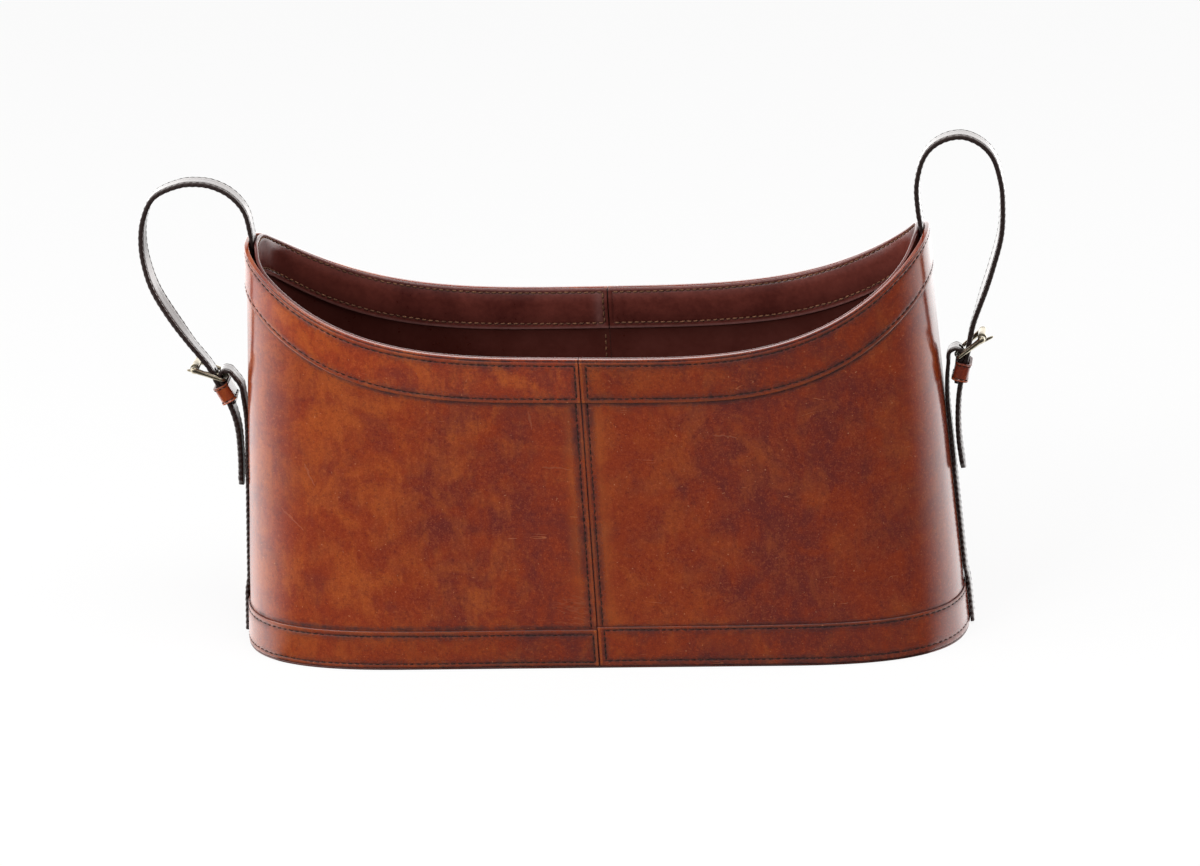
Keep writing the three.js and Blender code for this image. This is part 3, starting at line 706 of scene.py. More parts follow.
for side in sides:
    st = stations[side]
    rows = []
    for share in np.linspace(0, 1, 24):
        height = seat_height + (st.rim - 30 - seat_height) * share
        # Darker just below the facing's lower edge: painted shade.
        dark = 0.35 * hollow(st.rim - height - 30, 6)
        rows.append((height, lining_face + root_room(st, height), dark, 0))
    for drop in (28, 20, 12, 9, 7, 5, 3, 1.7):
        rows.append((*inner(side, drop, lining_face), 0.3, 0))
    for drop in (1.7, 3, 5, 7, 9, 12, 20, 30):
        rows.append((*inner(side, drop, lining_back), 0.3, 0))
    for share in np.linspace(1, 0, 12)[1:]:
        height = seat_height + (st.rim - 30 - seat_height) * share
        rows.append((height, lining_back + root_room(st, height), 0.3, 0))
    lining = wall_sheet(f"lining_skin_{side}", st, rows)
    lining.data.materials.append(lining_finish)
    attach(lining, "basket")
    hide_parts(f"lining_{side}")

    rounded = edge_round(st, 0.6)
    face = [(facing_depth, 5.7), (26.25, 5.95), (26.1, 6.1), (25.8, 6.17)]
    face += [(drop, facing_face) for drop in (
        25.2, 24.2, 23.4, 23, 22.8, 22.6, 22.4, 22.2, 21.8, 21, 19, 16, 13, 10, 8, 6.4, 5.2, 4.2,
        3.4, 3, 2.7, 2.4, 2.1, 1.8, 1.4,
    )]
    fold = np.linspace(0, math.pi, 11)
    face += [(1.0 - 0.95 * math.sin(a) + 0.05, 5.05 + 1.15 * math.cos(a)) for a in fold]
    rows = []
    for drop, base_inset in face:
        height, inset = inner(side, drop, base_inset)
        run, run_back = st.seam_run(height)
        from_stitch = box_distance(run, run_back, drop, *facing_rows, facing_column)
        on_face = 1.0 if base_inset > 5.6 else 0.0
        pulled = 0.2 * hollow(from_stitch, 0.5) + 0.12 * hollow(from_stitch, 1.3)
        crease = most(
            0.5 * hollow(from_stitch, 0.7), hollow(np.minimum(run, run_back), 0.4),
            0.3 * hollow(drop - 19.5, 3.2),
        )
        # Paler at the facing's lower edge, along its crest and, on the left, in a band beside the back seam:
        # painted highlights.
        rub_and_sheen = 0.9 * hollow(drop - 25.6, 0.7) + 0.5 * hollow(drop - 1.0, 0.7)
        rub_and_sheen = np.maximum(rub_and_sheen, 0.45 * hollow(run_back - 5.5, 2.8) * (side == "left"))
        rows.append((height, inset - on_face * (rounded + pulled), crease * on_face, rub_and_sheen * on_face))
    rows.append((*inner(side, 1.5, 3.9), 0.5, 0))
    for drop in (1.5, 3, 5, 7, 9, 16, facing_depth):
        rows.append((*inner(side, drop, facing_back), 0.5, 0))
    facing = wall_sheet(f"rim_facing_skin_{side}", st, rows)
    facing.data.materials.append(facing_finish)
    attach(facing, "basket")
    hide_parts(f"rim_facing_{side}")


# The sole: one piece of dark leather under the whole basket, its cut edge rounded and waxed. On it
# stand the walls, and inside lie a stiff board and a lining.
def sole_leather():
    f = Finish(bpy.data.materials.new("sole_leather"))
    here = f.place((0.9, 0.2, 0.6))
    cloud = f.noise(here, 22, 4, 0.6)
    grain = f.noise(here, 900, 3, 0.6)
    body = f.mix((cloud * 0.8 + grain * 0.3).between(0.35, 0.75), (0.045, 0.009, 0.006), (0.10, 0.022, 0.012))
    return f.surface(f.skin(body, 0.34 + grain * 0.2, f.relief(grain, 0.3, 0.0003), 0.4))


def raw_fibre(name, dark, light):
    f = Finish(bpy.data.materials.new(name))
    here = f.place((0.4, 0.1, 0.9), (1, 1, 0.4))
    cloud = f.noise(here, 60, 4, 0.6)
    hair = f.noise(here, 900, 3, 0.7)
    body = f.mix((cloud * 0.5 + hair * 0.6).between(0.35, 0.75), dark, light)
    return f.surface(f.skin(body, 0.72 + hair * 0.2, f.relief(hair, 0.5, 0.0003), 0.2))


def give(node, finish):
    """A CAD piece that shows as it is gets its finish."""
    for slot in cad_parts[node].material_slots:
        slot.material = finish


edge = [(0, 1.2), (0.1, 0.55), (0.35, 0.2), (0.7, 0.02), (1.0, 0.02), (1.3, 0.15), (1.5, 0.4), (1.6, 0.8)]
grid = []
for height, inset in edge:
    halves = []
    for st, order in ((stations["right"], 1), (stations["left"], -1)):
        away_from_seams = st.offset >= st.near[-1]
        halves.append(st.points(st.rim * 0 + height, inset)[away_from_seams][::order])
    grid.append(np.concatenate((*halves, halves[0][:1])))
sole = sheet_mesh("sole", np.array(grid))
sole.data.materials.append(sole_leather())
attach(sole, "basket")
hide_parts("base_cover")
core_finish = raw_fibre("leatherboard", (0.26, 0.16, 0.09), (0.48, 0.34, 0.22))
for side in sides:
    give(f"wall_core_{side}", core_finish)
give("base_board", raw_fibre("fibreboard", (0.30, 0.20, 0.11), (0.52, 0.38, 0.24)))
give("base_lining", inner_leather("bottom_lining_leather", (2.2, 0.8, 0.1)))


# The sewing of the body: waxed dark thread outside and tan thread round the facing, in short
# stitches that lie in the creases they pull into the leather.
stitch_rings = [
    (-0.5, 0.16, -0.34), (-0.42, 0.32, -0.14), (-0.24, 0.42, 0.02), (0.24, 0.42, 0.02),
    (0.42, 0.32, -0.14), (0.5, 0.16, -0.34),
]
# stitch_dark: each stitch darker towards its ends, where it dips into its hole: painted shade.
stitch_dark = [1.0, 0.55, 0.0, 0.0, 0.55, 1.0]
stitch_sides = 6
thread_depth = 0.32
thread_sunk = 0.14
facing_thread = facing_face - thread_sunk
hand_drift, hand_slant = 0.24, 0.14


def thread(name, dark, light):
    f = Finish(bpy.data.materials.new(name))
    here = f.place()
    twist = f.noise(here, 2400, 2, 0.6)
    body = f.mix((f.noise(here, 160, 3, 0.6) * 0.6 + twist * 0.5).between(0.4, 0.7), dark, light)
    body = f.mix((f.attribute("end") * 0.9).held(), body, (0.010, 0.004, 0.003))
    return f.surface(f.skin(body, 0.60 + twist * 0.15, f.relief(twist, 0.4, 0.0001), 0.14))


dark_thread = thread("dark_thread", (0.011, 0.0055, 0.005), (0.050, 0.021, 0.015))
tan_thread = thread("tan_thread", (0.075, 0.032, 0.018), (0.21, 0.095, 0.050))
black_thread = thread("black_thread", (0.008, 0.006, 0.006), (0.030, 0.022, 0.020))


def read_off(rows, run, where):
    """Points or normals of a line read off at other places along its run."""
    return np.stack([np.interp(where, run, rows[:, k]) for k in range(3)], -1)


def sew(name, runs, finish, pitch=4.3, length=3.2, thick=1.0):
    """Stitches along each run of (points, normals) in millimetres, as one piece of thread work."""
    hand = np.random.default_rng(len(name))
    turn = np.linspace(0, 2 * math.pi, stitch_sides, endpoint=False)
    vertices, total = [], 0
    for line, normals in runs:
        run = run_along(line)
        count = max(1, round(run[-1] / pitch))
        at = (np.arange(count) + 0.5) * run[-1] / count
        middle = read_off(line, run, at)
        bends = 2 + int(run[-1] / 11)
        drift = np.interp(at, np.linspace(0, run[-1], bends), hand.uniform(-hand_drift, hand_drift, bends))
        way = read_off(line, run, at + 0.6) - read_off(line, run, at - 0.6)
        way /= np.linalg.norm(way, axis=1)[:, None]
        out = read_off(normals, run, at)
        out -= way * np.sum(out * way, axis=1)[:, None]
        out /= np.linalg.norm(out, axis=1)[:, None]
        aside = np.cross(out, way)
        slant = hand.uniform(-hand_slant, hand_slant, count)[:, None]
        middle = middle + aside * drift[:, None]
        way, aside = way + aside * slant, aside - way * slant
        long = length * hand.uniform(0.92, 1.06, count)[:, None]
        points = []
        for share, radius, lift in stitch_rings:
            for angle in turn:
                spot = middle + way * long * share + aside * (radius * thick * math.cos(angle))
                points.append(spot + out * (lift + radius * thick * math.sin(angle)))
        vertices.append(np.stack(points, 1).reshape(-1, 3))
        total += count
    stitch, per = [], len(stitch_rings) * stitch_sides
    for start in range(0, per - stitch_sides, stitch_sides):
        for j in range(stitch_sides):
            after = start + (j + 1) % stitch_sides
            stitch.append((start + j, start + stitch_sides + j, after + stitch_sides, after))
    stitch.append(range(stitch_sides))
    stitch.append(range(per - 1, per - 1 - stitch_sides, -1))
    corners = [[k + start for k in face] for start in range(0, total * per, per) for face in stitch]
    mesh = bpy.data.meshes.new(name)
    mesh.from_pydata((np.concatenate(vertices) * 0.001).tolist(), [], corners)
    mesh.polygons.foreach_set("use_smooth", [True] * len(mesh.polygons))
    piece = bpy.data.objects.new(name, mesh)
    bpy.context.scene.collection.objects.link(piece)
    mesh.materials.append(finish)
    ends = np.tile(np.repeat(stitch_dark, stitch_sides), total)
    mesh.attributes.new("end", "FLOAT", "POINT").data.foreach_set("value", ends.astype(np.float32))
    return piece


def row_run(st, height, inset, seam_offset):
    """A row of stitches round one half of the wall, between its two seam columns."""
    run, run_back = st.seam_run(height)
    between = (run > seam_offset) & (run < run[-1] - seam_offset)
    at = np.concatenate(([seam_offset], run[between], [run[-1] - seam_offset]))
    points = st.points(height, inset - ripple(st, height))
    return read_off(points, run, at), read_off(st.normals(height), run, at)


def column_run(st, face, from_rim, low, high, inset, seam_offset, inside=False):
    """A column beside a seam. Heights are from the foot, or from the rim downward."""
    end, near_count = (0 if face < 0 else -1), len(st.near)
    near = slice(0, near_count) if face < 0 else slice(-near_count, None)
    column = int(np.argmin(np.abs(st.near - seam_offset)))
    rim = st.rim[column if face < 0 else -1 - column]
    heights = np.linspace(rim - high, rim - low, 24) if from_rim else np.linspace(low, high, 40)
    rows = []
    for height in heights:
        level = st.rim * 0 + height
        sunk = inset(rim - height) if inside else inset - ripple(st, level)
        spots = st.points(level, sunk)
        run = np.abs(spots[:, 0] - spots[end, 0])[near]
        order = np.argsort(run)
        rows.append(read_off(spots[near][order], run[order], seam_offset))
    outward = -float(face) if inside else float(face)
    return np.array(rows), np.tile((0.0, outward, 0.0), (len(rows), 1))


for side in sides:
    st = stations[side]
    column = band_column[side]
    on_band, on_panel = band_face + thread_depth, panel_face + thread_depth
    runs = [row_run(st, st.rim - drop, on_band, column) for drop in rim_rows[side]]
    runs += [column_run(st, face, True, *rim_rows[side], on_band, column) for face in (-1, 1)]
    low, high = seat_height + foot_rows[side][1], foot_tops[side] - foot_rows[side][0]
    runs += [row_run(st, st.rim * 0 + level, on_band, column) for level in (low, high)]
    runs += [column_run(st, face, False, low, high, on_band, column) for face in (-1, 1)]
    foot = foot_tops[side] + 0.5
    for face in (-1, 1):
        top = st.rim[0 if face < 0 else -1] - band_depth
        runs.append(column_run(st, face, False, foot, top, on_panel, panel_stitch[side]))
    body_sewing = sew(f"body_stitches_{side}", runs, dark_thread)
    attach(body_sewing, "basket")

    runs = []
    for drop in facing_rows:
        height, inset = inner(side, drop, facing_thread)
        points, normals = st.points(height, inset), st.normals(height)
        run, run_back = st.seam_run(height)
        keep = (run > facing_column) & (run_back > facing_column)
        runs.append((points[keep], -normals[keep]))
    if side == "left":
        on_facing = lambda drop: facing_thread - rim_lean * (1 - smooth(drop, 0, lean_depth))
        on_lining = lambda drop: lining_face - thread_sunk
        runs.append(column_run(st, 1, True, *facing_rows, on_facing, facing_column, True))
        runs.append(column_run(st, 1, True, 30, 100, on_lining, facing_column, True))
    facing_sewing = sew(f"facing_stitches_{side}", runs, tan_thread, 4.1, 3.4, 1.3)
    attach(facing_sewing, "basket")


# The handle straps: two layers of black-brown leather each, sewn along both edges. The root goes
# down between the wall and the facing, and the tail goes through the buckle and the keeper.
ends = {
    "left": {
        "side": -1, "reach": 68.5, "loop_rise": 37.4, "tail_drop": 162, "heel_drop": 92,
        "peel_drop": 103, "peel_out": 3, "fold_rise": 4.9, "tilt": math.radians(22.3),
        "path": [
            (0, 0.812), (0.05, 0.908), (0.17, 0.962), (0.33, 0.992), (0.47, 1), (0.62, 0.996),
            (0.86, 0.958), (0.97, 0.885), (1, 0.807), (0.963, 0.727), (0.881, 0.646), (0.591, 0.484),
            (0.407, 0.399), (0.325, 0.341), (0.22, 0.273), (0.157, 0.199), (0.133, 0.1), (0.132, 0),
        ],
    },
    "right": {
        "side": 1, "reach": 49.6, "loop_rise": 58.2, "tail_drop": 157.5, "heel_drop": 84.2,
        "peel_drop": 94.2, "peel_out": 2.6, "fold_rise": 4.6, "tilt": math.radians(38.5),
        "path": [
            (0, 0.729), (-0.03, 0.79), (-0.032, 0.862), (0.052, 0.934), (0.161, 0.969),
            (0.323, 0.992), (0.518, 1), (0.671, 0.99), (0.815, 0.966), (0.919, 0.93), (0.992, 0.857),
            (1, 0.811), (0.962, 0.713), (0.802, 0.605), (0.61, 0.497), (0.488, 0.424), (0.403, 0.351),
            (0.349, 0.311), (0.258, 0.241), (0.207, 0.167), (0.188, 0.093), (0.202, 0),
        ],
    },
}
root_inset = 3.8
strap_stitch = 4.4
strap_pitch = 4.0
strap_thread = (black_thread, strap_pitch, 2.9, 0.85)
strap_half = 1.5
root_thickness = 2.6
tip_length, tip_width = 7, 0.25
loop_twist = math.radians(10)
leaf_half = 1.1
play = 0.3
heel_radius = 1.2
prong_radius = 1.1
roller_radius = 2.75
prong_lift, slot_play = math.radians(12), math.radians(6)
buckle_length = 19.5


def wall_out(height):
    return body_plan(height)[0]


class Path:
    """A strap's middle line, outward from the middle of the basket and up, in equal steps."""

    def __init__(self, line, step):
        run = np.concatenate(([0], np.cumsum(np.hypot(*np.diff(line, axis=0).T))))
        count = int(round(run[-1] / step))
        self.run = np.linspace(0, run[-1], count + 1)
        self.out = np.interp(self.run, run, line[:, 0])
        self.up = np.interp(self.run, run, line[:, 1])
        way = np.stack((np.gradient(self.out), np.gradient(self.up)), -1)
        way /= np.linalg.norm(way, axis=1)[:, None]
        self.way_out, self.way_up = way[:, 0], way[:, 1]
        self.to_tip = run[-1] - self.run
        self.twist = 0.0

    def at(self, run):
        return [np.interp(run, self.run, row) for row in (self.out, self.up, self.way_out, self.way_up)]

    def run_at_height(self, height):
        """Where the path last passes a height."""
        above = self.up > height
        last = np.nonzero(above[1:] != above[:-1])[0][-1]
        share = (height - self.up[last]) / (self.up[last + 1] - self.up[last])
        return self.run[last] + share * (self.run[last + 1] - self.run[last])


def curve_through(points, per_span=60):
    """A smooth centripetal curve through given points."""
    points = np.array(points, float)
    points = np.concatenate(([2 * points[0] - points[1]], points, [2 * points[-1] - points[-2]]))
    line = []
    for i in range(1, len(points) - 2):
        p = points[i - 1:i + 3]
        d = np.sqrt(np.linalg.norm(np.diff(p, axis=0), axis=1))
        m1 = d[1] * ((p[1] - p[0]) / d[0] - (p[2] - p[0]) / (d[0] + d[1]) + (p[2] - p[1]) / d[1])
        m2 = d[1] * ((p[2] - p[1]) / d[1] - (p[3] - p[1]) / (d[1] + d[2]) + (p[3] - p[2]) / d[2])
        t = np.linspace(0, 1, per_span, endpoint=False)[:, None]
        line.append(
            p[1] + m1 * t + (3 * (p[2] - p[1]) - 2 * m1 - m2) * t**2
            + (2 * (p[1] - p[2]) + m1 + m2) * t**3
        )
    return np.concatenate(line + [points[-2:-1]])


def loop_line(end):
    span = end["loop_rise"] + end["tail_drop"]
    points = []
    for out, rise in end["path"]:
        height = end_height - end["tail_drop"] + rise * span
        points.append((wall_out(min(height, end_height)) - root_inset + out * end["reach"], height))
    points[0] = (wall_out(end_height) - root_inset, end_height + 0.6)
    return curve_through(points)


def softened(line, middle, reach):
    """The same line with its corner near a point eased."""
    path = Path(line, 0.25)
    rows = np.stack((path.out, path.up), -1)
    width = int(reach / 0.25)
    kernel = np.hanning(2 * width + 1)
    kernel /= kernel.sum()
    padded = np.pad(rows, ((width, width), (0, 0)), mode="reflect", reflect_type="odd")
    eased = np.stack([np.convolve(padded[:, k], kernel, mode="valid") for k in (0, 1)], -1)
    near = hollow(np.hypot(rows[:, 0] - middle[0], rows[:, 1] - middle[1]), reach * 2.2)[:, None]
    return rows * (1 - near) + eased * near


def on_strap(path, sign, y, away):
    """Points beside a strap's middle line: across it by y and off its face by away."""
    cos, sin = np.cos(path.twist), np.sin(path.twist)
    y, away = y * cos + away * sin, away * cos - y * sin
    x = path.out - path.way_up * away
    z = path.up + path.way_out * away
    return np.stack((sign * x, y + x * 0, z), -1)


def edge_rows(path, sign, face, thickness, keep):
    """Two rows of stitches on one face of a strap, along its edges."""
    out = on_strap(path, sign, 0, face) - on_strap(path, sign, 0, 0)
    sunk = face * (thickness / 2 - 0.20)
    lines = [on_strap(path, sign, y, sunk) for y in (-strap_stitch, strap_stitch)]
    return [(line[keep], out[keep]) for line in lines]


def both_ways(shares):
    """The same places on both sides of the middle."""
    return np.array([-share for share in shares[:0:-1]] + shares)


def strap_mesh(name, path, sign, thickness, width, scallop):
    """A sewn strap: round waxed edges, a stitched crease near each, and edges drawn in by the thread."""
    shares = both_ways([
        0, 0.16, 0.32, 0.46, 0.56, 0.62, 0.66, 0.69, 0.71, 0.73, 0.76, 0.80, 0.85, 0.90, 0.94, 0.97,
        0.99, 1.0,
    ])
    half = thickness / 2
    rows, creases, rubs = [], [], []
    for face in (1, -1):
        for share in shares * face:
            across = np.abs(share)
            beat = 0.5 - 0.5 * np.cos(
                2 * math.pi * path.run / strap_pitch + face * 0.9 + np.sign(share) * 0.7
            )
            at_edge = smooth(across, 0.74, 0.9)
            y = share * width / 2 * (1 - at_edge * beat * scallop * 0.16)
            rounded = math.sqrt(max(0.0, 1 - (max(0.0, across - 0.86) / 0.15) ** 2))
            crease = hollow((across - 0.71) / 0.055, 1.0)
            t = half * (0.30 + 0.70 * rounded) - 0.20 * crease - at_edge * beat * scallop
            t = t + 0.10 * hollow(across - 0.35, 0.35)
            rows.append(on_strap(path, sign, y, face * np.maximum(t, 0.12)))
            creases.append(path.run * 0 + crease + 0.4 * at_edge * beat + smooth(across, 0.88, 0.94))
            rubs.append(path.run * 0 + hollow(across - 0.84, 0.03))
    rows.append(rows[0])
    creases.append(creases[0])
    rubs.append(rubs[0])
    return sheet_mesh(name, np.array(rows), {"crease": creases, "rub_and_sheen": rubs}, angle=60)


def strap_leather(name, shift):
    """Black-brown bridle leather, waxed to a high gloss, but dull on its cut edges and grooves."""
    f = Finish(bpy.data.materials.new(name))
    here = f.place(shift)
    cloud = f.noise(here, 60, 3, 0.6)
    fine = f.noise(here, 700, 3, 0.6)
    grain = f.noise(here, 2300, 2, 0.5)
    wear_and_sheen = (0.085, 0.045, 0.032)
    body = f.mix((cloud * 0.7 + fine * 0.4).between(0.45, 0.8) * 0.5, (0.020, 0.013, 0.011), wear_and_sheen)
    body = f.mix((f.attribute("rub_and_sheen") * (fine * 1.2)).held() * 0.25, body, wear_and_sheen)
    dark = (f.attribute("crease") * 0.8).held()
    body = f.mix(dark, body, (0.016, 0.008, 0.007))
    rough = (0.15 + fine * 0.10 + grain * 0.05 + dark * 0.3).held()
    normal = f.relief(fine * 0.5 + grain * 0.5, 0.25, 0.0003)
    waxed = f.skin(body, rough, normal, 0.95, tint=(1.0, 0.93, 0.91))
    raw = f.skin(body, rough, normal, 0.1)
    return f.surface(f.node("MixShader", {"Fac": dark * 0.8, "Shader": waxed, "Shader_001": raw})["Shader"])


def buckle_place(end, loop):
    """Where the buckle sits on the strap: its heel bar, its roller and the way its prong points."""
    run = loop.run_at_height(end_height - end["heel_drop"])
    out, up, way_out, way_up = loop.at(run)
    down = np.array((way_out, way_up)) / math.hypot(way_out, way_up)
    inward = np.array((down[1], -down[0]))
    leaf_inward = strap_half + play + leaf_half
    heel_inward = leaf_inward + leaf_half + play + heel_radius
    heel = np.array((out, up)) + inward * heel_inward
    towards = np.array((math.cos(end["tilt"]), math.sin(end["tilt"])))
    prong_tilt = end["tilt"] - math.asin((roller_radius + prong_radius + 0.2) / buckle_length)
    rise = prong_tilt - math.atan2(-inward[1], -inward[0])
    return {
        "run": run, "down": down, "inward": inward, "leaf_inward": leaf_inward,
        "heel_inward": heel_inward, "heel": heel, "roller": heel + towards * buckle_length,
        "towards": towards, "prong": np.array((math.cos(prong_tilt), math.sin(prong_tilt))), "rise": rise,
    }


def cut_slot(piece, sign, place, near, far, width, eye=0.0):
    """The punched hole that the prong goes through, as long as its swing needs."""
    lift = lambda out, angle, side: out * math.tan(angle) + side * prong_radius / math.cos(angle)
    top = lift(far, place["rise"] + slot_play, 1) + 0.4
    foot = lift(near, place["rise"] - (prong_lift + slot_play), -1) - 0.4
    top, foot = max(top, eye), min(foot, -eye)
    middle = place["heel"] - place["inward"] * (near + far) / 2 - place["down"] * (top + foot) / 2
    along = Vector((sign * place["down"][0], 0, place["down"][1]))
    matrix = Matrix((along, (0, 1, 0), along.cross((0, 1, 0)))).transposed().to_4x4()
    bpy.ops.object.select_all(action="DESELECT")
    bpy.ops.mesh.primitive_cube_add(size=0.001)
    cutter = bpy.context.object
    cutter.matrix_world = (
        Matrix.Translation((sign * middle[0] * 0.001, 0, middle[1] * 0.001)) @ matrix
        @ Matrix.Diagonal((top - foot, width, far - near, 1))
    )
    bpy.context.view_layer.update()
    bpy.context.view_layer.objects.active = piece
    cut = piece.modifiers.new("slot", "BOOLEAN")
    cut.operation = "DIFFERENCE"
    cut.solver = "EXACT"
    cut.object = cutter
    bpy.ops.object.modifier_apply(modifier="slot")
    bpy.data.objects.remove(cutter)


loops, buckles = {}, {}
for name, end in ends.items():
    sign = end["side"]
    line = loop_line(end)
    loops[name] = Path(line, 0.3)
    buckles[name] = buckle_place(end, loops[name])
    foot = end_height - band_depth
    root = np.array([(wall_out(foot) - root_inset, foot), (wall_out(end_height) - root_inset, end_height)])
    path = Path(softened(np.concatenate((root, line)), root[1], 5), 0.33)
    share = np.minimum(path.to_tip / tip_length, 1)
    tip = np.sqrt(1 - (1 - share) ** 2 * (1 - tip_width**2))
    top_run, heel_run = path.run[np.argmax(path.up)], path.run_at_height(end_height - end["heel_drop"])
    path.twist = loop_twist * smooth(path.run, top_run + 30, top_run + 90)
    path.twist = path.twist * (1 - smooth(path.run, heel_run - 48, heel_run - 22))
    thickness = root_thickness + 0.4 * smooth(path.run, 26, 36)
    pulled = 0.18 + 0.3 * smooth(path.run, heel_run + 16, heel_run + 30)
    strap = strap_mesh(f"strap_{name}", path, sign, thickness, strap_width * tip, pulled)
    place = buckles[name]
    cut_slot(strap, sign, place, place["heel_inward"] - 1.9, place["heel_inward"] + 1.9, width=3.0)
    strap.data.materials.append(strap_leather(f"strap_leather_{name}", (0.5 + sign, 0.3, 0.2)))
    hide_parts(f"handle_strap_{name}", f"handle_anchor_{name}")
    keep = (path.run > 30) & (path.to_tip > 4)
    runs = edge_rows(path, sign, 1, thickness, keep) + edge_rows(path, sign, -1, thickness, keep)
    strap_sewing = sew(f"strap_stitches_{name}", runs, *strap_thread)
    for piece in (strap, strap_sewing):
        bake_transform(piece)


# The buckle straps: a strip sewn up each end wall, which leaves the wall below the buckle, folds
# back over its heel bar and lies against the handle strap, held there by the keeper.
fold_shares = [(1, -0.2), (0.857, 0.62), (0.5, 1), (0.131, 0.7), (0, 0)]
leaf_length = 17
foot_stand, strip_stand = 2.1, 0.9
fold_width, fold_back = 8.4, 2.6
peel_length = 24


def strip_out(end, height):
    foot = end_height - end["peel_drop"] - peel_length
    eased = smooth(height, 26.7, 38.7)
    offset = foot_stand + (strip_stand - foot_stand) * eased
    peeled = np.clip((height - foot) / peel_length, 0, 1)
    return wall_out(height) + offset + (end["peel_out"] - offset) * peeled**2


def tab_line(end, place, loop):
    start = end_height - end["peel_drop"]
    out = strip_out(end, start)
    points = [(out, start), (out + 8 * 0.12, start + 8)]
    for width, rise in fold_shares:
        inward = place["inward"] * (width * fold_width - fold_back)
        spot = place["heel"] + inward - place["down"] * rise * end["fold_rise"]
        points.append(tuple(spot))
    for share in (0.33, 0.67, 1):
        o, u, way_out, way_up = loop.at(place["run"] + leaf_length * share)
        points.append((o + way_up * place["leaf_inward"], u - way_out * place["leaf_inward"]))
    return curve_through(points)


for name, end in ends.items():
    sign = end["side"]
    place = buckles[name]
    start = end_height - end["peel_drop"]
    heights = np.linspace(seat_height, start, 300)[:-1]
    sewn = np.stack((strip_out(end, heights), heights), -1)
    tab = tab_line(end, place, loops[name])
    path = Path(softened(np.concatenate((sewn, tab)), (strip_out(end, start), start), 3), 0.33)
    on_wall = 1 - smooth(path.run, start - 6, start + 2)
    thickness, pulled = 2.2 + 0.2 * on_wall, 0.18 + 0.25 * on_wall
    strap = strap_mesh(f"buckle_strap_{name}", path, sign, thickness, strap_width, pulled)
    cut_slot(strap, sign, place, -0.6, heel_radius + play + 2 * leaf_half + 0.4, width=3.4, eye=2.7)
    strap.data.materials.append(strap_leather(f"buckle_strap_leather_{name}", (0.1 + sign, 0.7, 0.4)))
    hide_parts(f"end_strip_{name}", f"buckle_tab_{name}")
    keep = (path.run > 2) & (path.to_tip > 3)
    runs = edge_rows(path, sign, -1, thickness, keep)
    strap_sewing = sew(f"buckle_strap_stitches_{name}", runs, *strap_thread)
    for piece in (strap, strap_sewing):
        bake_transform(piece)


# The keepers: a loop of the red-brown leather round strap and leaf, below the buckle, with a
# row of stitches near each edge.
keeper_leather = cognac("keeper_leather", (5.3, 1.2, 0.8), 0.55, 0.9, 0.85)
keeper_half = 5.9
keeper_below_buckle = 8.8
keeper_stitch = 0.76
keeper_shares = both_ways([0, 0.3, 0.62, 0.70, 0.73, 0.76, 0.79, 0.82, 0.88, 0.94, 0.98, 1])


def stood(sign, origin, way, flat):
    """A flat line with its first axis laid along a way outward and up, and its second across."""
    out, up = origin[0] + way[0] * flat[:, 0], origin[1] + way[1] * flat[:, 0]
    return np.stack((sign * out, flat[:, 1], up), -1)


def closed_round(rows):
    """Rows of points or marks, each with its start repeated at its end."""
    rows = np.array(rows)
    return np.concatenate((rows, rows[:, :1]), axis=1)


def rounded_loop(left, right_edge, half, corner, steps=14):
    """Points and outward ways round a rectangle with round corners."""
    points, ways = [], []
    for cx, cy, first in (
        (right_edge - corner, half - corner, 0), (left + corner, half - corner, 90),
        (left + corner, -half + corner, 180), (right_edge - corner, -half + corner, 270),
    ):
        for angle in np.radians(np.linspace(first, first + 90, steps)):
            ways.append((math.cos(angle), math.sin(angle)))
            points.append((cx + corner * math.cos(angle), cy + corner * math.sin(angle)))
    return np.array(points), np.array(ways)


for name, end in ends.items():
    sign = end["side"]
    place = buckles[name]
    out, up, way_out, way_up = loops[name].at(place["run"] + keeper_below_buckle)
    down = np.array((way_out, way_up)) / math.hypot(way_out, way_up)
    outward = np.array((-down[1], down[0]))
    around, ways = rounded_loop(-5.2, 2.8, half=7.4, corner=2.0)
    centre = stood(sign, (out, up), outward, around)
    away = stood(sign, (0, 0), outward, ways)
    lengthways = np.array((sign * down[0], 0, down[1]))
    rows, creases, rubs = [], [], []
    for face in (1, -1):
        for share in keeper_shares * face:
            across = abs(share)
            groove = hollow(across - keeper_stitch, 0.035) * (face > 0)
            t = 0.7 * (0.35 + 0.65 * math.sqrt(max(0, 1 - (max(0, across - 0.9) / 0.1) ** 2)))
            t = t - 0.2 * groove + (face > 0) * (0.75 * smooth(across, 0.72, 0.98) - 0.1)
            rows.append(centre + lengthways * (share * keeper_half) + away * (face * t))
            creases.append(ways[:, 0] * 0 + groove + 0.8 * hollow(across - 1, 0.03))
            rubs.append(ways[:, 0] * 0 + hollow(across - 0.88, 0.05) * (face > 0))
    rows, creases, rubs = [closed_round(part + part[:1]) for part in (rows, creases, rubs)]
    keeper = sheet_mesh(f"keeper_loop_{name}", rows, {"crease": creases, "rub_and_sheen": rubs}, 60)
    keeper.data.materials.append(keeper_leather)
    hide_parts(f"keeper_{name}")
    runs = []
    for share in (-keeper_stitch, keeper_stitch):
        line = centre + lengthways * share * keeper_half + away * 0.55
        runs.append((np.concatenate((line, line[:1])), np.concatenate((away, away[:1]))))
    keeper_sewing = sew(f"keeper_stitches_{name}", runs, dark_thread, 3.6, 2.4, 1.15)
    for piece in (keeper, keeper_sewing):
        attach(piece, f"handle_{name}")


# The buckles: cast wire frames of pale antique brass with a roller on the outer bar and a
# tapered prong hung on the heel bar.
wire_radius = 1.15
roller_half = 5.6


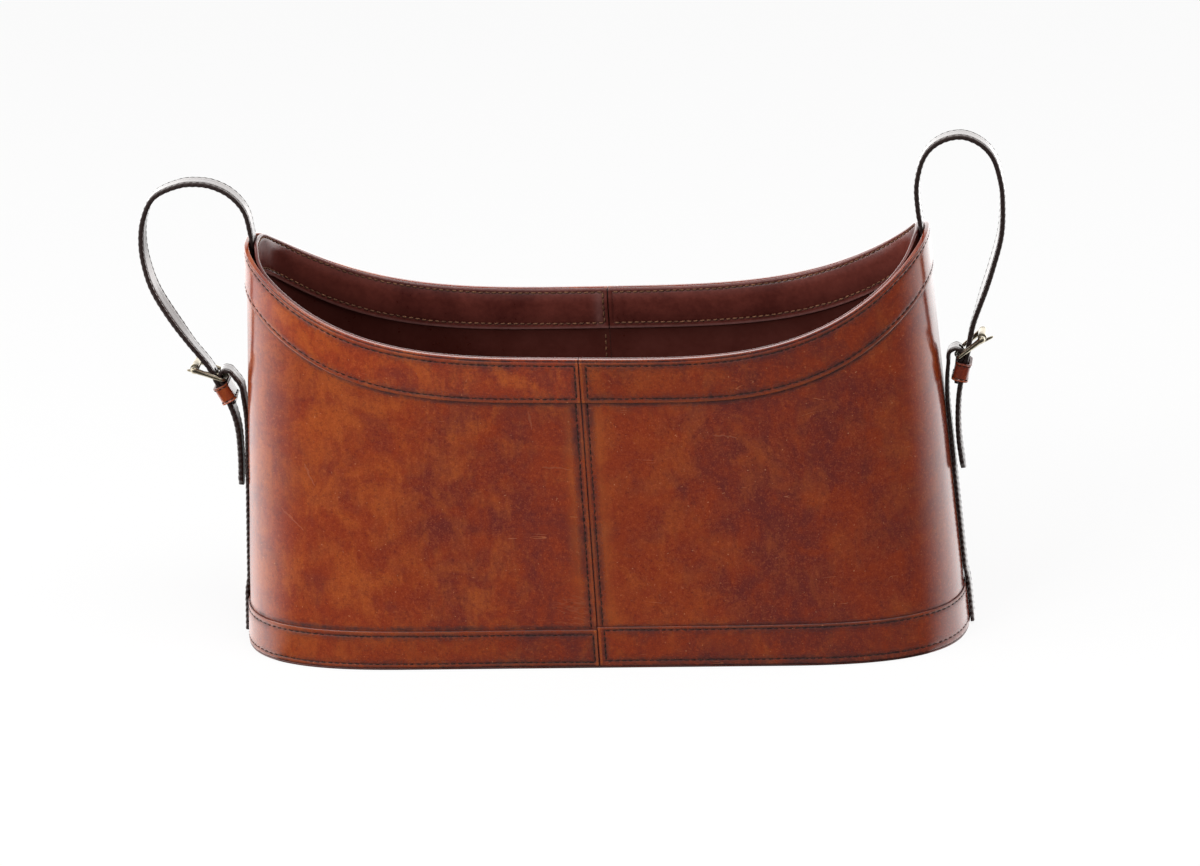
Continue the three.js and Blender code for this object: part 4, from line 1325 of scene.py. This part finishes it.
def old_brass(name, shift):
    f = Finish(bpy.data.materials.new(name))
    here = f.place(shift)
    cloud = f.noise(here, 160, 4, 0.6)
    fine = f.noise(here, 1400, 3, 0.6)
    tarnish = (cloud * 0.85 + fine * 0.15).between(0.40, 0.75)
    body = f.mix(tarnish, (0.27, 0.24, 0.18), (0.145, 0.115, 0.073))
    # Near black where the crease mark is set: painted shade in a groove and in gaps.
    body = f.mix(f.attribute("crease").held(), body, (0.02, 0.015, 0.012))
    rough = (0.29 + tarnish * 0.14 + fine * 0.05).held()
    normal = f.relief(fine * 0.4 + cloud * 0.8, 0.15, 0.0002)
    return f.surface(f.skin(body, rough, normal, metal=1.0))


def turned(name, sign, centre, profile):
    """A form turned about a bar: profile is (radius, y), closed on itself."""
    angle = np.linspace(0, 2 * math.pi, 41)
    rows = []
    for radius, y in profile + profile[:1]:
        out, up = radius * np.cos(angle), centre[1] + radius * np.sin(angle)
        rows.append(np.stack((sign * centre[0] + out, y + angle * 0, up), -1))
    return sheet_mesh(name, np.array(rows), angle=40)


for name, end in ends.items():
    sign = end["side"]
    place = buckles[name]
    brass = old_brass(f"old_brass_{name}", (sign * 0.7, 0.1, 0.5))
    heel, roller, towards = place["heel"], place["roller"], place["towards"]
    rise = np.array((-towards[1], towards[0]))
    around, ways = rounded_loop(0, buckle_length, half=8.0, corner=2.1, steps=28)
    centre = stood(sign, heel, towards, around)
    away = stood(sign, (0, 0), towards, ways)
    upward = np.array((sign * rise[0], 0, rise[1]))
    share, aside = around[:, 0] / buckle_length, np.abs(around[:, 1])
    corner = hollow(around[:, 0] - 19.0, 1.5) * hollow(aside - 7.5, 1.5)
    beside = smooth(aside, 6.6, 8.0)
    radius = (wire_radius + 0.35 * smooth(share, 0.1, 0.6) * beside + 0.95 * corner)[:, None]
    centre = centre + away * (0.8 * corner)[:, None]
    # Black ring where the ball meets the side bar, and black where the roller's ends meet the frame: painted
    # shade of a groove and of the gaps.
    groove = hollow(share - 0.82, 0.03) * beside + hollow(aside - 5.8, 0.4) * (share > 0.9)
    angles = np.linspace(0, 2 * math.pi, 17)
    rows = [
        centre + away * (radius * math.cos(angle)) + upward * (radius * math.sin(angle))
        for angle in angles
    ]
    groove = closed_round([groove] * len(rows))
    ring = sheet_mesh(f"buckle_ring_{name}", closed_round(rows), {"crease": groove}, 60)
    ring.data.materials.append(brass)
    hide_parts(f"buckle_frame_{name}")
    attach(ring, f"buckle_{name}")

    tube = [(r, inside - roller_half) for r, inside in (
        (1.4, 0.2), (1.6, 0), (2.25, 0), (2.55, 0.12), (2.72, 0.45), (roller_radius, 1.0),
    )]
    tube += [(roller_radius, y) for y in (-3, 0, 3, roller_half - 1.0)]
    tube += [(r, -y) for r, y in tube[4::-1]]
    tube += [(1.4, 0)]
    sleeve = turned(f"roller_{name}", sign, roller, tube)
    sleeve.data.materials.append(brass)
    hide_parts(f"buckle_roller_{name}")
    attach(sleeve, f"roller_{name}")

    eye = turned(f"prong_{name}", sign, heel, [
        (1.36, -1.0), (1.5, -1.25), (1.95, -1.25), (2.2, -1.05), (2.3, -0.6), (2.3, 0.6),
        (2.2, 1.05), (1.95, 1.25), (1.5, 1.25), (1.36, 1.0),
    ])
    way = place["prong"]
    side_way = np.array((-way[1], way[0]))
    stops = np.array([1.9, 2.4, 3.2, 5, 8, 12, 16, 19, 21, 22.4, 23.3, 23.8, 24.1, 24.25])
    thick = np.array([1.0, 1.08, 1.1, 1.1, 1.08, 1.02, 0.96, 0.92, 0.88, 0.84, 0.74, 0.55, 0.30, 0.05])
    wide = thick * np.where(stops < 4, 1.12, 1.0)
    rows = []
    for a in angles:
        out = heel[0] + way[0] * stops + side_way[0] * thick * math.sin(a)
        high = heel[1] + way[1] * stops + side_way[1] * thick * math.sin(a)
        rows.append(np.stack((sign * out, wide * math.cos(a), high), -1))
    rod = sheet_mesh(f"prong_rod_{name}", np.array(rows), angle=50)
    bpy.ops.object.select_all(action="DESELECT")
    rod.select_set(True)
    eye.select_set(True)
    bpy.context.view_layer.objects.active = eye
    bpy.ops.object.join()
    eye.data.materials.append(brass)
    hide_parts(f"buckle_prong_{name}")
    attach(eye, f"prong_{name}")
